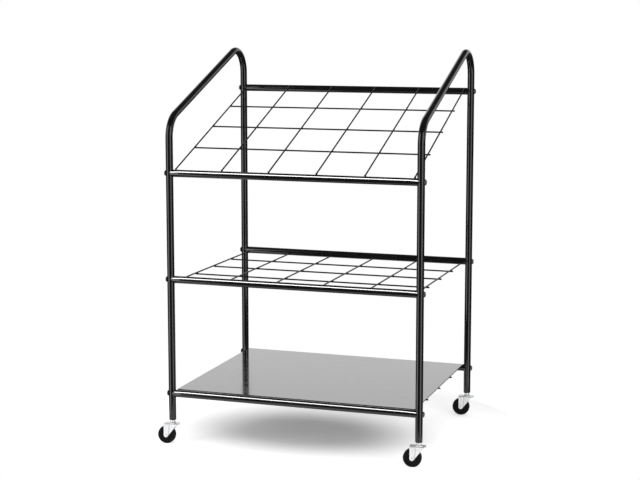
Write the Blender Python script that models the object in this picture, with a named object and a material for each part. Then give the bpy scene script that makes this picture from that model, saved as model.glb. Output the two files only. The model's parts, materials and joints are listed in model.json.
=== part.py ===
"""Blueprint storage cart: an open frame of bent tube on four swivel casters.

Two side frames carry three shelves. Each shelf is a front rail, a back rail and a grid of
wires, and the top one slopes up towards the back. A board lies on the bottom grid, and the
square cells of the two grids above it line up over that board.

Units are metres, +Z is up, +X is the cart's right and -Y is its low front. The origin is on
the floor, under the middle of the whole cart's box.
"""

import math

import bmesh
import bpy
from mathutils import Matrix, Vector

# Cells of the wire grids
CELL_PITCH = 0.127
COLUMNS = 5
ROWS = 4
WIRE_DIAMETER = 0.004
WIRE_TIP = 0.005
WELD_BITE = 0.0005

# Tubes
TUBE_DIAMETER = 0.019
TUBE_WALL = 0.0012
BEND_RADIUS = 0.0635
SIDE_ROOM = 0.007
RAIL_LAP = 0.001

# Shelves: rail heights over the floor, slope of the top one, tube over it, wires over the rails
BOTTOM_RAIL_HEIGHT = 0.135
MIDDLE_RAIL_HEIGHT = 0.438
TOP_RAIL_HEIGHT = 0.715
TOP_SLOPE = math.radians(20.4)
HANDLE_RISE = 0.135
BOTTOM_WIRE_RISE = 0.006
MIDDLE_WIRE_RISE = -0.003
TOP_WIRE_RISE = 0.009
BOARD_THICKNESS = 0.0025
BOARD_EDGE = 0.0006

# Screws and the threaded plugs in the rail ends
SCREW_RADIUS = 0.003
SCREW_BITE = 0.014
SCREW_HEAD_RADIUS = 0.00725
SCREW_HEAD_HEIGHT = 0.0044
SCREW_HEAD_RIM = 0.0012
SCREW_KEY_ACROSS = 0.004
SCREW_KEY_DEPTH = 0.0022
PLUG_LENGTH = 0.018

# Caster: wheel, axle, fork, stem and the socket in the leg
CASTER_TURN = math.radians(6)
WHEEL_RADIUS = 0.024
WHEEL_WIDTH = 0.0155
WHEEL_SHOULDER = 0.0035
WHEEL_DISH = 0.00225
WHEEL_RIM = 0.006
WHEEL_ROOM = 0.0048
HUB_WALL = 0.006
HUB_STAND = 0.00165
HUB_PLAY = 0.0004
AXLE_RADIUS = 0.0025
AXLE_HEAD_RIM = 0.0011
AXLE_HEAD_HEIGHT = 0.0012
TRAIL = 0.016
FORK_SHEET = 0.002
FORK_BEND_ROOM = 0.0004
FORK_NOSE = 0.0008
FORK_BACK_REACH = 0.0182
FORK_TAIL = 0.0014
FORK_CORNER = 0.0045
FORK_LIP_WIDTH = 0.0075
FORK_LIP_DROP = 0.0025
CHEEK_FOOT_RADIUS = 0.0058
RACE_RADIUS = 0.0093
RACE_HEIGHT = 0.0034
STEM_RADIUS = 0.004
STEM_LENGTH = 0.034
STEM_TIP = 0.001
COLLAR_HEIGHT = 0.0052
COLLAR_RIM = 0.0026
STEM_RIVET_RIM = 0.0022
STEM_RIVET_HEIGHT = 0.0018
SOCKET_LENGTH = 0.038
SOCKET_FLANGE = 0.002
SOCKET_EDGE = 0.0008

# Gap between touching pieces, overrun of the cuts and fineness of the round shapes
GAP = 0.0003
OVERRUN = 0.004
MERGE = 0.00001
TUBE_SIDES = 16
WIRE_SIDES = 10
GRID_WIRE_SIDES = 8
WHEEL_SIDES = 24
ROUND_SIDES = 16
SMALL_SIDES = 12
KEY_SIDES = 6
FRONT_BEND_STEPS = 6
BACK_BEND_STEPS = 9
CORNER_STEPS = 4
SHARP_ANGLE = math.radians(38)

# Places worked out from the sizes above
TUBE_RADIUS = TUBE_DIAMETER / 2
WIRE_RADIUS = WIRE_DIAMETER / 2
WIRE_SPAN = COLUMNS * CELL_PITCH
HALF_WIDTH = WIRE_SPAN / 2 + SIDE_ROOM + TUBE_RADIUS
HALF_DEPTH = ROWS * CELL_PITCH / 2 + TUBE_RADIUS - RAIL_LAP
TOP_CLIMB = 2 * HALF_DEPTH * math.tan(TOP_SLOPE)
CROSS_WIRE_LENGTH = WIRE_SPAN + 2 * WIRE_TIP
SCREW_SEAT = TUBE_RADIUS + GAP
SCREW_LENGTH = TUBE_DIAMETER + SCREW_BITE
AXLE_HEIGHT = WHEEL_RADIUS * math.cos(math.pi / WHEEL_SIDES)
HUB_HALF_LENGTH = WHEEL_WIDTH / 2 + HUB_STAND
FORK_WIDTH = 2 * (HUB_HALF_LENGTH + HUB_PLAY + FORK_SHEET)
FORK_BEND = FORK_SHEET + FORK_BEND_ROOM
FORK_TOP = 2 * WHEEL_RADIUS + WHEEL_ROOM + FORK_SHEET
FORK_FRONT_REACH = TRAIL + CHEEK_FOOT_RADIUS + FORK_NOSE
CHEEK_BACK_REACH = FORK_BACK_REACH - FORK_TAIL
COLLAR_BOTTOM = FORK_TOP + RACE_HEIGHT + GAP
STEM_TOP = COLLAR_BOTTOM + COLLAR_HEIGHT
LEG_BOTTOM = STEM_TOP + GAP + SOCKET_FLANGE

SIDES = {"left": -1, "right": 1}
ENDS = {"front": -1, "back": 1}

# Colour, roughness and metallic value of each finish
FINISHES = {
    "black_coat": ((0.012, 0.012, 0.013), 0.16, 0.0),
    "wire_coat": ((0.014, 0.014, 0.015), 0.24, 0.0),
    "board_black": ((0.010, 0.010, 0.011), 0.10, 0.0),
    "screw_black": ((0.016, 0.016, 0.017), 0.30, 0.0),
    "zinc": ((0.72, 0.73, 0.75), 0.24, 1.0),
    "steel": ((0.62, 0.62, 0.64), 0.30, 1.0),
    "wheel_black": ((0.015, 0.015, 0.016), 0.42, 0.0),
    "socket_black": ((0.018, 0.018, 0.019), 0.45, 0.0),
}


def clear_scene():
    """Remove every object that the scene holds."""
    for old in list(bpy.data.objects):
        bpy.data.objects.remove(old, do_unlink=True)


def make_finish(name):
    """Make one Principled BSDF material from the table of finishes."""
    colour, roughness, metallic = FINISHES[name]
    material = bpy.data.materials.new(name)
    material.use_nodes = True
    shader = material.node_tree.nodes["Principled BSDF"]
    shader.inputs["Base Color"].default_value = (*colour, 1)
    shader.inputs["Roughness"].default_value = roughness
    shader.inputs["Metallic"].default_value = metallic
    return material


def add_empty(name, parent=None, location=(0, 0, 0), rotation=(0, 0, 0)):
    """Add an empty that groups and places the pieces under it."""
    empty = bpy.data.objects.new(name, None)
    bpy.context.scene.collection.objects.link(empty)
    empty.parent = parent
    empty.location = location
    empty.rotation_euler = rotation
    return empty


def add_piece(name, mesh, material, parent, location=(0, 0, 0), rotation=(0, 0, 0)):
    """Add one piece of the cart as an object of its own."""
    mesh.shade_smooth()
    mesh.set_sharp_from_angle(angle=SHARP_ANGLE)
    if not mesh.materials:
        mesh.materials.append(material)
    piece = bpy.data.objects.new(name, mesh)
    bpy.context.scene.collection.objects.link(piece)
    piece.parent = parent
    piece.location = location
    piece.rotation_euler = rotation
    return piece


def mesh_from(bm, name):
    """Turn an edit mesh into a mesh whose faces point out."""
    bmesh.ops.recalc_face_normals(bm, faces=bm.faces)
    mesh = bpy.data.meshes.new(name)
    bm.to_mesh(mesh)
    bm.free()
    return mesh


def rod_mesh(name, radius, length, sides, axis="Z"):
    """Make a round rod about the origin along one axis, with a corner of its outline on +X or +Y."""
    turns = {"X": Matrix.Rotation(math.pi / 2, 4, "Y"), "Y": Matrix.Rotation(math.pi / 2, 4, "X")}
    bm = bmesh.new()
    bmesh.ops.create_cone(
        bm, cap_ends=True, segments=sides, radius1=radius, radius2=radius, depth=length,
        matrix=turns.get(axis, Matrix.Identity(4)))
    return mesh_from(bm, name)


def turned_mesh(name, profile, sides, start=0.0):
    """Turn a closed profile of (radius, height) points about Z, from the given angle."""
    bm = bmesh.new()
    turn = Matrix.Rotation(start, 4, "Z")
    verts = [bm.verts.new(turn @ Vector((radius, 0, height))) for radius, height in profile]
    edges = [bm.edges.new(pair) for pair in zip(verts, verts[1:])]
    if profile[0][0] > 0:
        edges.append(bm.edges.new((verts[-1], verts[0])))
    bmesh.ops.spin(
        bm, geom=verts + edges, cent=(0, 0, 0), axis=(0, 0, 1), angle=2 * math.pi, steps=sides,
        use_merge=True)
    bmesh.ops.remove_doubles(bm, verts=bm.verts, dist=MERGE)
    return mesh_from(bm, name)


def prism_mesh(name, outline, axis, low, high):
    """Extrude an outline along Y or Z, between two places on that axis.

    The outline's points are (x, z) for a prism along Y and (x, y) for one along Z.
    """
    bm = bmesh.new()
    if axis == "Y":
        verts = [bm.verts.new((u, low, v)) for u, v in outline]
        push = Vector((0, high - low, 0))
    else:
        verts = [bm.verts.new((u, v, low)) for u, v in outline]
        push = Vector((0, 0, high - low))
    face = bm.faces.new(verts)
    result = bmesh.ops.extrude_face_region(bm, geom=[face])
    moved = [item for item in result["geom"] if isinstance(item, bmesh.types.BMVert)]
    bmesh.ops.translate(bm, verts=moved, vec=push)
    return mesh_from(bm, name)


def add_cutter(name, mesh, location=(0, 0, 0), rotation=(0, 0, 0)):
    """Add a shape that only cuts others."""
    cutter = bpy.data.objects.new(name, mesh)
    bpy.context.scene.collection.objects.link(cutter)
    cutter.location = location
    cutter.rotation_euler = rotation
    cutter.hide_render = True
    cutter.display_type = "WIRE"
    return cutter


def shaped(mesh, steps):
    """Run modifiers over a mesh and return the outcome as a new mesh.

    Each step is a modifier type and its settings. A cutter is removed once it has cut.
    """
    blank = bpy.data.objects.new(mesh.name, mesh)
    bpy.context.scene.collection.objects.link(blank)
    cutters = []
    for kind, settings in steps:
        modifier = blank.modifiers.new(kind.lower(), kind)
        for key, value in settings.items():
            setattr(modifier, key, value)
        if kind == "BOOLEAN":
            modifier.solver = "EXACT"
            cutters.append(settings["object"])
    bpy.context.view_layer.update()
    graph = bpy.context.evaluated_depsgraph_get()
    outcome = bpy.data.meshes.new_from_object(blank.evaluated_get(graph))
    for spent in [blank, *cutters]:
        bpy.data.objects.remove(spent, do_unlink=True)
    return outcome


def cut_by(cutter, operation="DIFFERENCE"):
    """One Boolean step for shaped()."""
    return "BOOLEAN", {"operation": operation, "object": cutter}


def corner_reach(radius, turn):
    """Distance from a corner to where an arc of that radius leaves its straight sides."""
    return radius * math.tan(turn / 2)


def side_frame_mesh():
    """Bend one tube into a front leg, a slope and a back leg, then wall it and drill it.

    The tube's rings are extruded along the straight runs and spun round the bends.
    """
    bm = bmesh.new()
    start = Matrix.Translation((0, -HALF_DEPTH, LEG_BOTTOM))
    bmesh.ops.create_circle(bm, cap_ends=False, segments=TUBE_SIDES, radius=TUBE_RADIUS, matrix=start)
    ring = list(bm.edges)

    def run(ring, vector):
        """Extrude the ring along a straight run."""
        result = bmesh.ops.extrude_edge_only(bm, edges=ring)
        moved = [item for item in result["geom"] if isinstance(item, bmesh.types.BMVert)]
        bmesh.ops.translate(bm, verts=moved, vec=vector)
        return [item for item in result["geom"] if isinstance(item, bmesh.types.BMEdge)]

    def bend(ring, centre, turn, steps):
        """Spin the ring round a bend, forward and down about the X axis."""
        result = bmesh.ops.spin(
            bm, geom=ring, cent=centre, axis=(-1, 0, 0), angle=turn, steps=steps)
        return [item for item in result["geom_last"] if isinstance(item, bmesh.types.BMEdge)]

    front_turn = math.pi / 2 - TOP_SLOPE
    back_turn = math.pi / 2 + TOP_SLOPE
    front_reach = corner_reach(BEND_RADIUS, front_turn)
    back_reach = corner_reach(BEND_RADIUS, back_turn)
    front_corner = TOP_RAIL_HEIGHT + HANDLE_RISE
    back_corner = front_corner + TOP_CLIMB
    slope_length = 2 * HALF_DEPTH / math.cos(TOP_SLOPE) - front_reach - back_reach

    ring = run(ring, Vector((0, 0, front_corner - front_reach - LEG_BOTTOM)))
    front_centre = (0, BEND_RADIUS - HALF_DEPTH, front_corner - front_reach)
    ring = bend(ring, front_centre, front_turn, FRONT_BEND_STEPS)
    ring = run(ring, slope_length * Vector((0, math.cos(TOP_SLOPE), math.sin(TOP_SLOPE))))
    back_centre = (0, HALF_DEPTH - BEND_RADIUS, back_corner - back_reach)
    ring = bend(ring, back_centre, back_turn, BACK_BEND_STEPS)
    run(ring, Vector((0, 0, LEG_BOTTOM - back_corner + back_reach)))
    bmesh.ops.remove_doubles(bm, verts=bm.verts, dist=MERGE)
    tube = mesh_from(bm, "side_frame")

    steps = [("SOLIDIFY", {"thickness": TUBE_WALL, "offset": -1, "use_even_offset": True})]
    for end, sign in ENDS.items():
        for height in rail_heights(end):
            drill = rod_mesh("drill", SCREW_RADIUS + GAP, 2 * (TUBE_RADIUS + OVERRUN), SMALL_SIDES, "X")
            steps.append(cut_by(add_cutter("drill", drill, (0, sign * HALF_DEPTH, height))))
    return shaped(tube, steps)


def rail_heights(end):
    """Heights of the three rails at the front or the back."""
    climb = TOP_CLIMB if end == "back" else 0
    return BOTTOM_RAIL_HEIGHT, MIDDLE_RAIL_HEIGHT, TOP_RAIL_HEIGHT + climb


def rail_mesh():
    """Make a rail: a tube with a threaded plug in each end, its ends fitted round the legs."""
    blank = rod_mesh("rail", TUBE_RADIUS, 2 * HALF_WIDTH, TUBE_SIDES, "X")
    bore = SCREW_RADIUS + GAP
    hollow = TUBE_RADIUS - TUBE_WALL
    end = HALF_WIDTH + OVERRUN
    plug = HALF_WIDTH - TUBE_RADIUS - PLUG_LENGTH
    spindle = turned_mesh("spindle", [
        (0, -end), (bore, -end), (bore, -plug), (hollow, -plug),
        (hollow, plug), (bore, plug), (bore, end), (0, end)], SMALL_SIDES)
    steps = [cut_by(add_cutter("spindle", spindle, rotation=(0, math.pi / 2, 0)))]
    for sign in SIDES.values():
        leg = rod_mesh("leg", TUBE_RADIUS + GAP, 2 * (TUBE_DIAMETER + OVERRUN), TUBE_SIDES)
        steps.append(cut_by(add_cutter("leg", leg, (sign * HALF_WIDTH, 0, 0))))
    return shaped(blank, steps)


def screw_mesh():
    """Make a domed screw with a hexagon key hole, its shank along -X and its seat at X = 0."""
    crown = SCREW_HEAD_HEIGHT - SCREW_HEAD_RIM
    dome = [(SCREW_HEAD_RADIUS * math.cos(turn), SCREW_HEAD_RIM + crown * math.sin(turn))
            for turn in (math.pi / 2 * step / CORNER_STEPS for step in range(CORNER_STEPS + 1))]
    profile = [
        (0, -SCREW_LENGTH), (SCREW_RADIUS, -SCREW_LENGTH), (SCREW_RADIUS, 0),
        (SCREW_HEAD_RADIUS, 0), *dome[:-1], (0, SCREW_HEAD_HEIGHT)]
    blank = turned_mesh("screw", profile, SMALL_SIDES)
    blank.transform(Matrix.Rotation(math.pi / 2, 4, "Y"))
    key_radius = SCREW_KEY_ACROSS / 2 / math.cos(math.pi / KEY_SIDES)
    key = rod_mesh("key", key_radius, 2 * SCREW_KEY_DEPTH, KEY_SIDES, "X")
    return shaped(blank, [cut_by(add_cutter("key", key, (SCREW_HEAD_HEIGHT, 0, 0)))])


def seat_reach(height):
    """Distance from a rail's axis at which a piece at that height over it meets the rail."""
    return math.sqrt(max((TUBE_RADIUS + GAP) ** 2 - height ** 2, 0))


def wire_reach(rise):
    """Distance from a rail's axis to the end of a wire whose middle is at that rise."""
    return seat_reach(max(abs(rise) - WIRE_RADIUS, 0))


def grid_places():
    """Places of the long wires across the cart, and of the cross wires along its depth."""
    long_places = [(index - COLUMNS / 2) * CELL_PITCH for index in range(COLUMNS + 1)]
    cross_places = [(index - ROWS / 2) * CELL_PITCH for index in range(1, ROWS)]
    return long_places, cross_places


def build_wires(shelf, slope, rise, cart, height, material):
    """Lay the wires of an open grid as separate pieces, long ones over the cross ones."""
    plane = add_empty(shelf + "_grid", cart, (0, 0, height), (slope, 0, 0))
    length = 2 * (HALF_DEPTH / math.cos(slope) - wire_reach(rise))
    long_wire = rod_mesh(shelf + "_long_wire", WIRE_RADIUS, length, WIRE_SIDES, "Y")
    cross_wire = rod_mesh(shelf + "_cross_wire", WIRE_RADIUS, CROSS_WIRE_LENGTH, WIRE_SIDES, "X")
    long_places, cross_places = grid_places()
    for number, place in enumerate(long_places, 1):
        add_piece(f"{shelf}_long_wire_{number}", long_wire, material, plane, (place, 0, rise))
    under = rise - WIRE_DIAMETER - GAP
    for number, place in enumerate(cross_places, 1):
        seat = (0, place / math.cos(slope), under)
        add_piece(f"{shelf}_cross_wire_{number}", cross_wire, material, plane, seat)


def bottom_grid_mesh():
    """Weld the wires of the bottom grid into one piece, which the board covers."""
    length = 2 * (HALF_DEPTH - wire_reach(BOTTOM_WIRE_RISE))
    under = BOTTOM_WIRE_RISE - WIRE_DIAMETER + WELD_BITE
    long_places, cross_places = grid_places()
    blank = rod_mesh("bottom_grid", WIRE_RADIUS, length, GRID_WIRE_SIDES, "Y")
    blank.transform(Matrix.Translation((long_places[0], 0, BOTTOM_WIRE_RISE)))
    steps = []
    for place in cross_places:
        wire = rod_mesh("cross", WIRE_RADIUS, CROSS_WIRE_LENGTH, GRID_WIRE_SIDES, "X")
        steps.append(cut_by(add_cutter("cross", wire, (0, place, under)), "UNION"))
    for place in long_places[1:]:
        wire = rod_mesh("long", WIRE_RADIUS, length, GRID_WIRE_SIDES, "Y")
        steps.append(cut_by(add_cutter("long", wire, (place, 0, BOTTOM_WIRE_RISE)), "UNION"))
    return shaped(blank, steps)


def board_mesh(underside):
    """Cut the flat board that lies on the bottom grid, between the two bottom rails."""
    half_width = CROSS_WIRE_LENGTH / 2
    half_depth = HALF_DEPTH - seat_reach(underside) - GAP
    outline = [(-half_width, -half_depth), (half_width, -half_depth),
               (half_width, half_depth), (-half_width, half_depth)]
    blank = prism_mesh("bottom_board", outline, "Z", underside, underside + BOARD_THICKNESS)
    return shaped(blank, [("BEVEL", {"width": BOARD_EDGE, "segments": 1, "limit_method": "ANGLE"})])


def arc(centre, radius, first, last, steps):
    """Points of an arc between two angles."""
    turns = [first + (last - first) * step / steps for step in range(steps + 1)]
    return [(centre[0] + radius * math.cos(turn), centre[1] + radius * math.sin(turn)) for turn in turns]


def fork_outline():
    """Side view of the fork: two cheeks round the axle that widen up to the top plate.

    The front edge is upright, the foot is an arc round the axle, and the back edge is straight,
    leaves the arc on its tangent and ends at the cheek's back reach.
    """
    axle = (-TRAIL, AXLE_HEIGHT)
    plate = FORK_TOP - FORK_SHEET
    across = CHEEK_BACK_REACH - axle[0]
    up = plate - axle[1]
    tangent = math.atan2(up, across) - math.acos(CHEEK_FOOT_RADIUS / math.hypot(across, up))
    foot = arc(axle, CHEEK_FOOT_RADIUS, math.pi, tangent + 2 * math.pi, 2 * CORNER_STEPS)
    low, high = -FORK_FRONT_REACH - OVERRUN, FORK_BACK_REACH + OVERRUN
    top = FORK_TOP + OVERRUN
    return [(low, top), (low, plate), (foot[0][0], plate), *foot,
            (CHEEK_BACK_REACH, plate), (high, plate), (high, top)]


def fork_mesh():
    """Press the fork from sheet: a channel trimmed to its side view and its top view."""
    half = FORK_WIDTH / 2
    floor = AXLE_HEIGHT - CHEEK_FOOT_RADIUS - OVERRUN
    front, back = -FORK_FRONT_REACH - 2 * OVERRUN, FORK_BACK_REACH + 2 * OVERRUN

    def channel_section(half_width, top, bend, bottom):
        """Half-round shouldered section of a channel as (y, z) points."""
        right = arc((half_width - bend, top - bend), bend, 0, math.pi / 2, CORNER_STEPS)
        left = arc((bend - half_width, top - bend), bend, math.pi / 2, math.pi, CORNER_STEPS)
        return [(half_width, bottom), *right, *left, (-half_width, bottom)]

    def along_x(name, section, low, high):
        """Extrude a (y, z) section along X."""
        mesh = prism_mesh(name, section, "Y", low, high)
        mesh.transform(Matrix.Rotation(-math.pi / 2, 4, "Z"))
        return mesh

    outer = along_x("fork", channel_section(half, FORK_TOP, FORK_BEND, floor), front, back)
    inner_bend = FORK_BEND_ROOM + GAP
    inner_section = channel_section(half - FORK_SHEET, FORK_TOP - FORK_SHEET, inner_bend, floor - OVERRUN)
    inner = along_x("inner", inner_section, front - OVERRUN, back + OVERRUN)
    side = prism_mesh("side", fork_outline(), "Y", -half - OVERRUN, half + OVERRUN)
    corner = FORK_CORNER
    low, high = corner - FORK_FRONT_REACH, FORK_BACK_REACH - corner
    edge = half - corner
    top_view = [
        *arc((high, edge), corner, 0, math.pi / 2, CORNER_STEPS),
        *arc((low, edge), corner, math.pi / 2, math.pi, CORNER_STEPS),
        *arc((low, -edge), corner, math.pi, 3 * math.pi / 2, CORNER_STEPS),
        *arc((high, -edge), corner, 3 * math.pi / 2, 2 * math.pi, CORNER_STEPS)]
    plan = prism_mesh("plan", top_view, "Z", floor - OVERRUN, FORK_TOP + OVERRUN)
    race_low = FORK_TOP - FORK_SHEET / 2
    race = turned_mesh("race", [
        (0, race_low), (RACE_RADIUS, race_low), (RACE_RADIUS, FORK_TOP + RACE_HEIGHT / 2),
        (RACE_RADIUS - RACE_HEIGHT / 2, FORK_TOP + RACE_HEIGHT), (0, FORK_TOP + RACE_HEIGHT)], ROUND_SIDES)
    lip_outline = [
        (FORK_BACK_REACH - FORK_SHEET, FORK_TOP - FORK_SHEET / 2),
        (FORK_BACK_REACH - FORK_SHEET, FORK_TOP - FORK_SHEET - FORK_LIP_DROP),
        (FORK_BACK_REACH, FORK_TOP - FORK_SHEET - FORK_LIP_DROP),
        (FORK_BACK_REACH, FORK_TOP - FORK_SHEET / 2)]
    lip = prism_mesh("lip", lip_outline, "Y", -FORK_LIP_WIDTH / 2, FORK_LIP_WIDTH / 2)
    pin_hole = rod_mesh("pin_hole", STEM_RADIUS + GAP, 2 * (FORK_SHEET + OVERRUN), ROUND_SIDES)
    axle_hole = rod_mesh("axle_hole", AXLE_RADIUS + GAP, FORK_WIDTH + 2 * OVERRUN, SMALL_SIDES, "Y")
    return shaped(outer, [
        cut_by(add_cutter("inner", inner)),
        cut_by(add_cutter("side", side), "INTERSECT"),
        cut_by(add_cutter("plan", plan), "INTERSECT"),
        cut_by(add_cutter("race", race), "UNION"),
        cut_by(add_cutter("lip", lip), "UNION"),
        cut_by(add_cutter("pin_hole", pin_hole, (0, 0, FORK_TOP))),
        cut_by(add_cutter("axle_hole", axle_hole, (-TRAIL, 0, AXLE_HEIGHT)))])


def wheel_mesh():
    """Turn the wheel about its axle, with a flat of its rim down on the floor."""
    side = WHEEL_WIDTH / 2
    web = side - WHEEL_DISH
    bore = AXLE_RADIUS + GAP
    hub_radius = AXLE_RADIUS + HUB_WALL
    rim_inner = WHEEL_RADIUS - WHEEL_RIM
    shoulder = arc((WHEEL_RADIUS - WHEEL_SHOULDER, side - WHEEL_SHOULDER), WHEEL_SHOULDER,
                   math.pi / 2, 0, CORNER_STEPS - 1)
    half = [(bore, HUB_HALF_LENGTH), (hub_radius, HUB_HALF_LENGTH), (hub_radius, web),
            (rim_inner, web), (rim_inner, side), *shoulder]
    profile = half + [(radius, -height) for radius, height in reversed(half)]
    mesh = turned_mesh("wheel", profile, WHEEL_SIDES, math.pi / WHEEL_SIDES)
    mesh.transform(Matrix.Rotation(math.pi / 2, 4, "X"))
    return mesh


def axle_mesh():
    """Turn the riveted axle, which passes through both cheeks."""
    seat = FORK_WIDTH / 2 + GAP
    end = seat + AXLE_HEAD_HEIGHT
    head = AXLE_RADIUS + AXLE_HEAD_RIM
    half = [(0, end), (head / 2, end), (head, seat + AXLE_HEAD_HEIGHT / 2),
            (head, seat), (AXLE_RADIUS, seat)]
    profile = half + [(radius, -height) for radius, height in reversed(half)]
    mesh = turned_mesh("axle", profile, SMALL_SIDES)
    mesh.transform(Matrix.Rotation(math.pi / 2, 4, "X"))
    return mesh


def stem_mesh():
    """Turn the stem: grip shank, collar under the leg, pin through the fork and riveted end."""
    rivet_top = FORK_TOP - FORK_SHEET - GAP
    top = STEM_TOP + STEM_LENGTH
    rivet = STEM_RADIUS + STEM_RIVET_RIM
    collar = STEM_RADIUS + COLLAR_RIM
    return turned_mesh("stem", [
        (0, rivet_top - STEM_RIVET_HEIGHT), (rivet / 2, rivet_top - STEM_RIVET_HEIGHT),
        (rivet, rivet_top - STEM_RIVET_HEIGHT / 2), (rivet, rivet_top),
        (STEM_RADIUS, rivet_top), (STEM_RADIUS, COLLAR_BOTTOM), (collar, COLLAR_BOTTOM),
        (collar, STEM_TOP), (STEM_RADIUS, STEM_TOP), (STEM_RADIUS, top - STEM_TIP),
        (STEM_RADIUS - STEM_TIP, top), (0, top)], ROUND_SIDES)


def socket_mesh():
    """Turn the plastic socket that fills the end of a leg and grips the stem."""
    bore = STEM_RADIUS + GAP
    body = TUBE_RADIUS - TUBE_WALL - GAP
    body = body * math.cos(math.pi / TUBE_SIDES)
    low = LEG_BOTTOM - SOCKET_FLANGE
    seat = LEG_BOTTOM - GAP
    top = LEG_BOTTOM + SOCKET_LENGTH
    flange = TUBE_RADIUS - GAP
    return turned_mesh("socket", [
        (bore, low), (flange - SOCKET_EDGE, low), (flange, low + SOCKET_EDGE),
        (flange, seat), (body, seat), (body, top), (bore, top)], ROUND_SIDES)


def build_frames(cart, finishes):
    """Stand the two side frames, one at each side."""
    mesh = side_frame_mesh()
    for side, sign in SIDES.items():
        add_piece(f"{side}_side_frame", mesh, finishes["black_coat"], cart, (sign * HALF_WIDTH, 0, 0))


def build_rails(cart, finishes):
    """Run the six rails between the side frames and screw them on from outside."""
    rail = rail_mesh()
    screws = {side: screw_mesh() for side in SIDES}
    screws["left"].transform(Matrix.Rotation(math.pi, 4, "Z"))
    for end, end_sign in ENDS.items():
        for shelf, height in zip(("bottom", "middle", "top"), rail_heights(end)):
            place = Vector((0, end_sign * HALF_DEPTH, height))
            add_piece(f"{shelf}_{end}_rail", rail, finishes["black_coat"], cart, place)
            for side, sign in SIDES.items():
                seat = place + Vector((sign * (HALF_WIDTH + SCREW_SEAT), 0, 0))
                name = f"{shelf}_{end}_{side}_screw"
                add_piece(name, screws[side], finishes["screw_black"], cart, seat)


def build_shelves(cart, finishes):
    """Lay the three wire grids between the rails, and the board on the bottom one."""
    middle = TOP_RAIL_HEIGHT + TOP_CLIMB / 2
    build_wires("top", TOP_SLOPE, TOP_WIRE_RISE, cart, middle, finishes["wire_coat"])
    build_wires("middle", 0, MIDDLE_WIRE_RISE, cart, MIDDLE_RAIL_HEIGHT, finishes["wire_coat"])
    place = (0, 0, BOTTOM_RAIL_HEIGHT)
    add_piece("bottom_grid", bottom_grid_mesh(), finishes["wire_coat"], cart, place)
    underside = BOTTOM_WIRE_RISE + WIRE_RADIUS + GAP
    add_piece("bottom_board", board_mesh(underside), finishes["board_black"], cart, place)


def build_casters(cart, finishes):
    """Fit a caster in each leg: socket and stem stay with it, the fork swivels, the wheel rolls."""
    socket, stem, fork, axle, wheel = socket_mesh(), stem_mesh(), fork_mesh(), axle_mesh(), wheel_mesh()
    for end, end_sign in ENDS.items():
        for side, sign in SIDES.items():
            corner = f"{end}_{side}"
            corner_place = (sign * HALF_WIDTH, end_sign * HALF_DEPTH, 0)
            swivel = add_empty(corner + "_swivel", cart, corner_place, (0, 0, CASTER_TURN))
            add_piece(corner + "_socket", socket, finishes["socket_black"], swivel)
            add_piece(corner + "_stem", stem, finishes["steel"], swivel)
            add_piece(corner + "_fork", fork, finishes["zinc"], swivel)
            spin = add_empty(corner + "_axle_line", swivel, (-TRAIL, 0, AXLE_HEIGHT))
            add_piece(corner + "_axle", axle, finishes["steel"], spin)
            add_piece(corner + "_wheel", wheel, finishes["wheel_black"], spin)


def centre_over_floor(cart):
    """Slide the cart along the floor until its whole box is centred on the origin."""
    bpy.context.view_layer.update()
    pieces = [item for item in bpy.data.objects if item.type == "MESH"]
    corners = [piece.matrix_world @ vert.co for piece in pieces for vert in piece.data.vertices]
    for axis in (0, 1):
        places = [corner[axis] for corner in corners]
        cart.location[axis] -= (min(places) + max(places)) / 2


def main():
    """Build the whole cart."""
    clear_scene()
    finishes = {name: make_finish(name) for name in FINISHES}
    cart = add_empty("cart")
    build_frames(cart, finishes)
    build_rails(cart, finishes)
    build_shelves(cart, finishes)
    build_casters(cart, finishes)
    centre_over_floor(cart)
    bpy.context.view_layer.update()


main()
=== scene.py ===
"""Looks of a blueprint storage cart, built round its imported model.

Every piece is a surface worked out with numpy: a shape over two parameters, or a profile
carried along a path. Units are metres, +Z is up and -Y is the cart's low front.
"""

import json
import logging
import math
from collections.abc import Callable
from dataclasses import dataclass
from enum import Enum
from typing import ClassVar

import bpy
import numpy as np
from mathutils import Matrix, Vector

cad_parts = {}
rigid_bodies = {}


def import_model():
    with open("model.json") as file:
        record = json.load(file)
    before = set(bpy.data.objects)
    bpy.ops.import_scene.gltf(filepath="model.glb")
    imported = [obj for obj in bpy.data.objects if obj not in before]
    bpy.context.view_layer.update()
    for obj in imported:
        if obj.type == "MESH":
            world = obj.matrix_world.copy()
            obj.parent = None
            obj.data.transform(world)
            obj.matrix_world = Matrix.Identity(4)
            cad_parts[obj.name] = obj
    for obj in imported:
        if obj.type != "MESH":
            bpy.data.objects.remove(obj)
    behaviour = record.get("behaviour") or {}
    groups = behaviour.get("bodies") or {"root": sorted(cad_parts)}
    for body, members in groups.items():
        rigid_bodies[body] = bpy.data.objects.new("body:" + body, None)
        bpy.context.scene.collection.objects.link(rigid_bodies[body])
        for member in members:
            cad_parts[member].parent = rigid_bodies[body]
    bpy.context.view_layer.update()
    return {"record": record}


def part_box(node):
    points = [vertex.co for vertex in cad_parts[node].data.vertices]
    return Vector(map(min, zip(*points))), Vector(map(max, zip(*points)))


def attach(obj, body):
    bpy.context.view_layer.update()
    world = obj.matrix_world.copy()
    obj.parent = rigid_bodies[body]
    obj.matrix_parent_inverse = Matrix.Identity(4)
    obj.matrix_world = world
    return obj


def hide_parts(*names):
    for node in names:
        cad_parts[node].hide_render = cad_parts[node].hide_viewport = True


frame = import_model()

log = logging.getLogger("cart")

Array = np.ndarray
Colour = tuple[float, float, float]
Place = tuple[float, float, float]
Span = tuple[float, float]
Corner = tuple[float, float, float]

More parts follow.
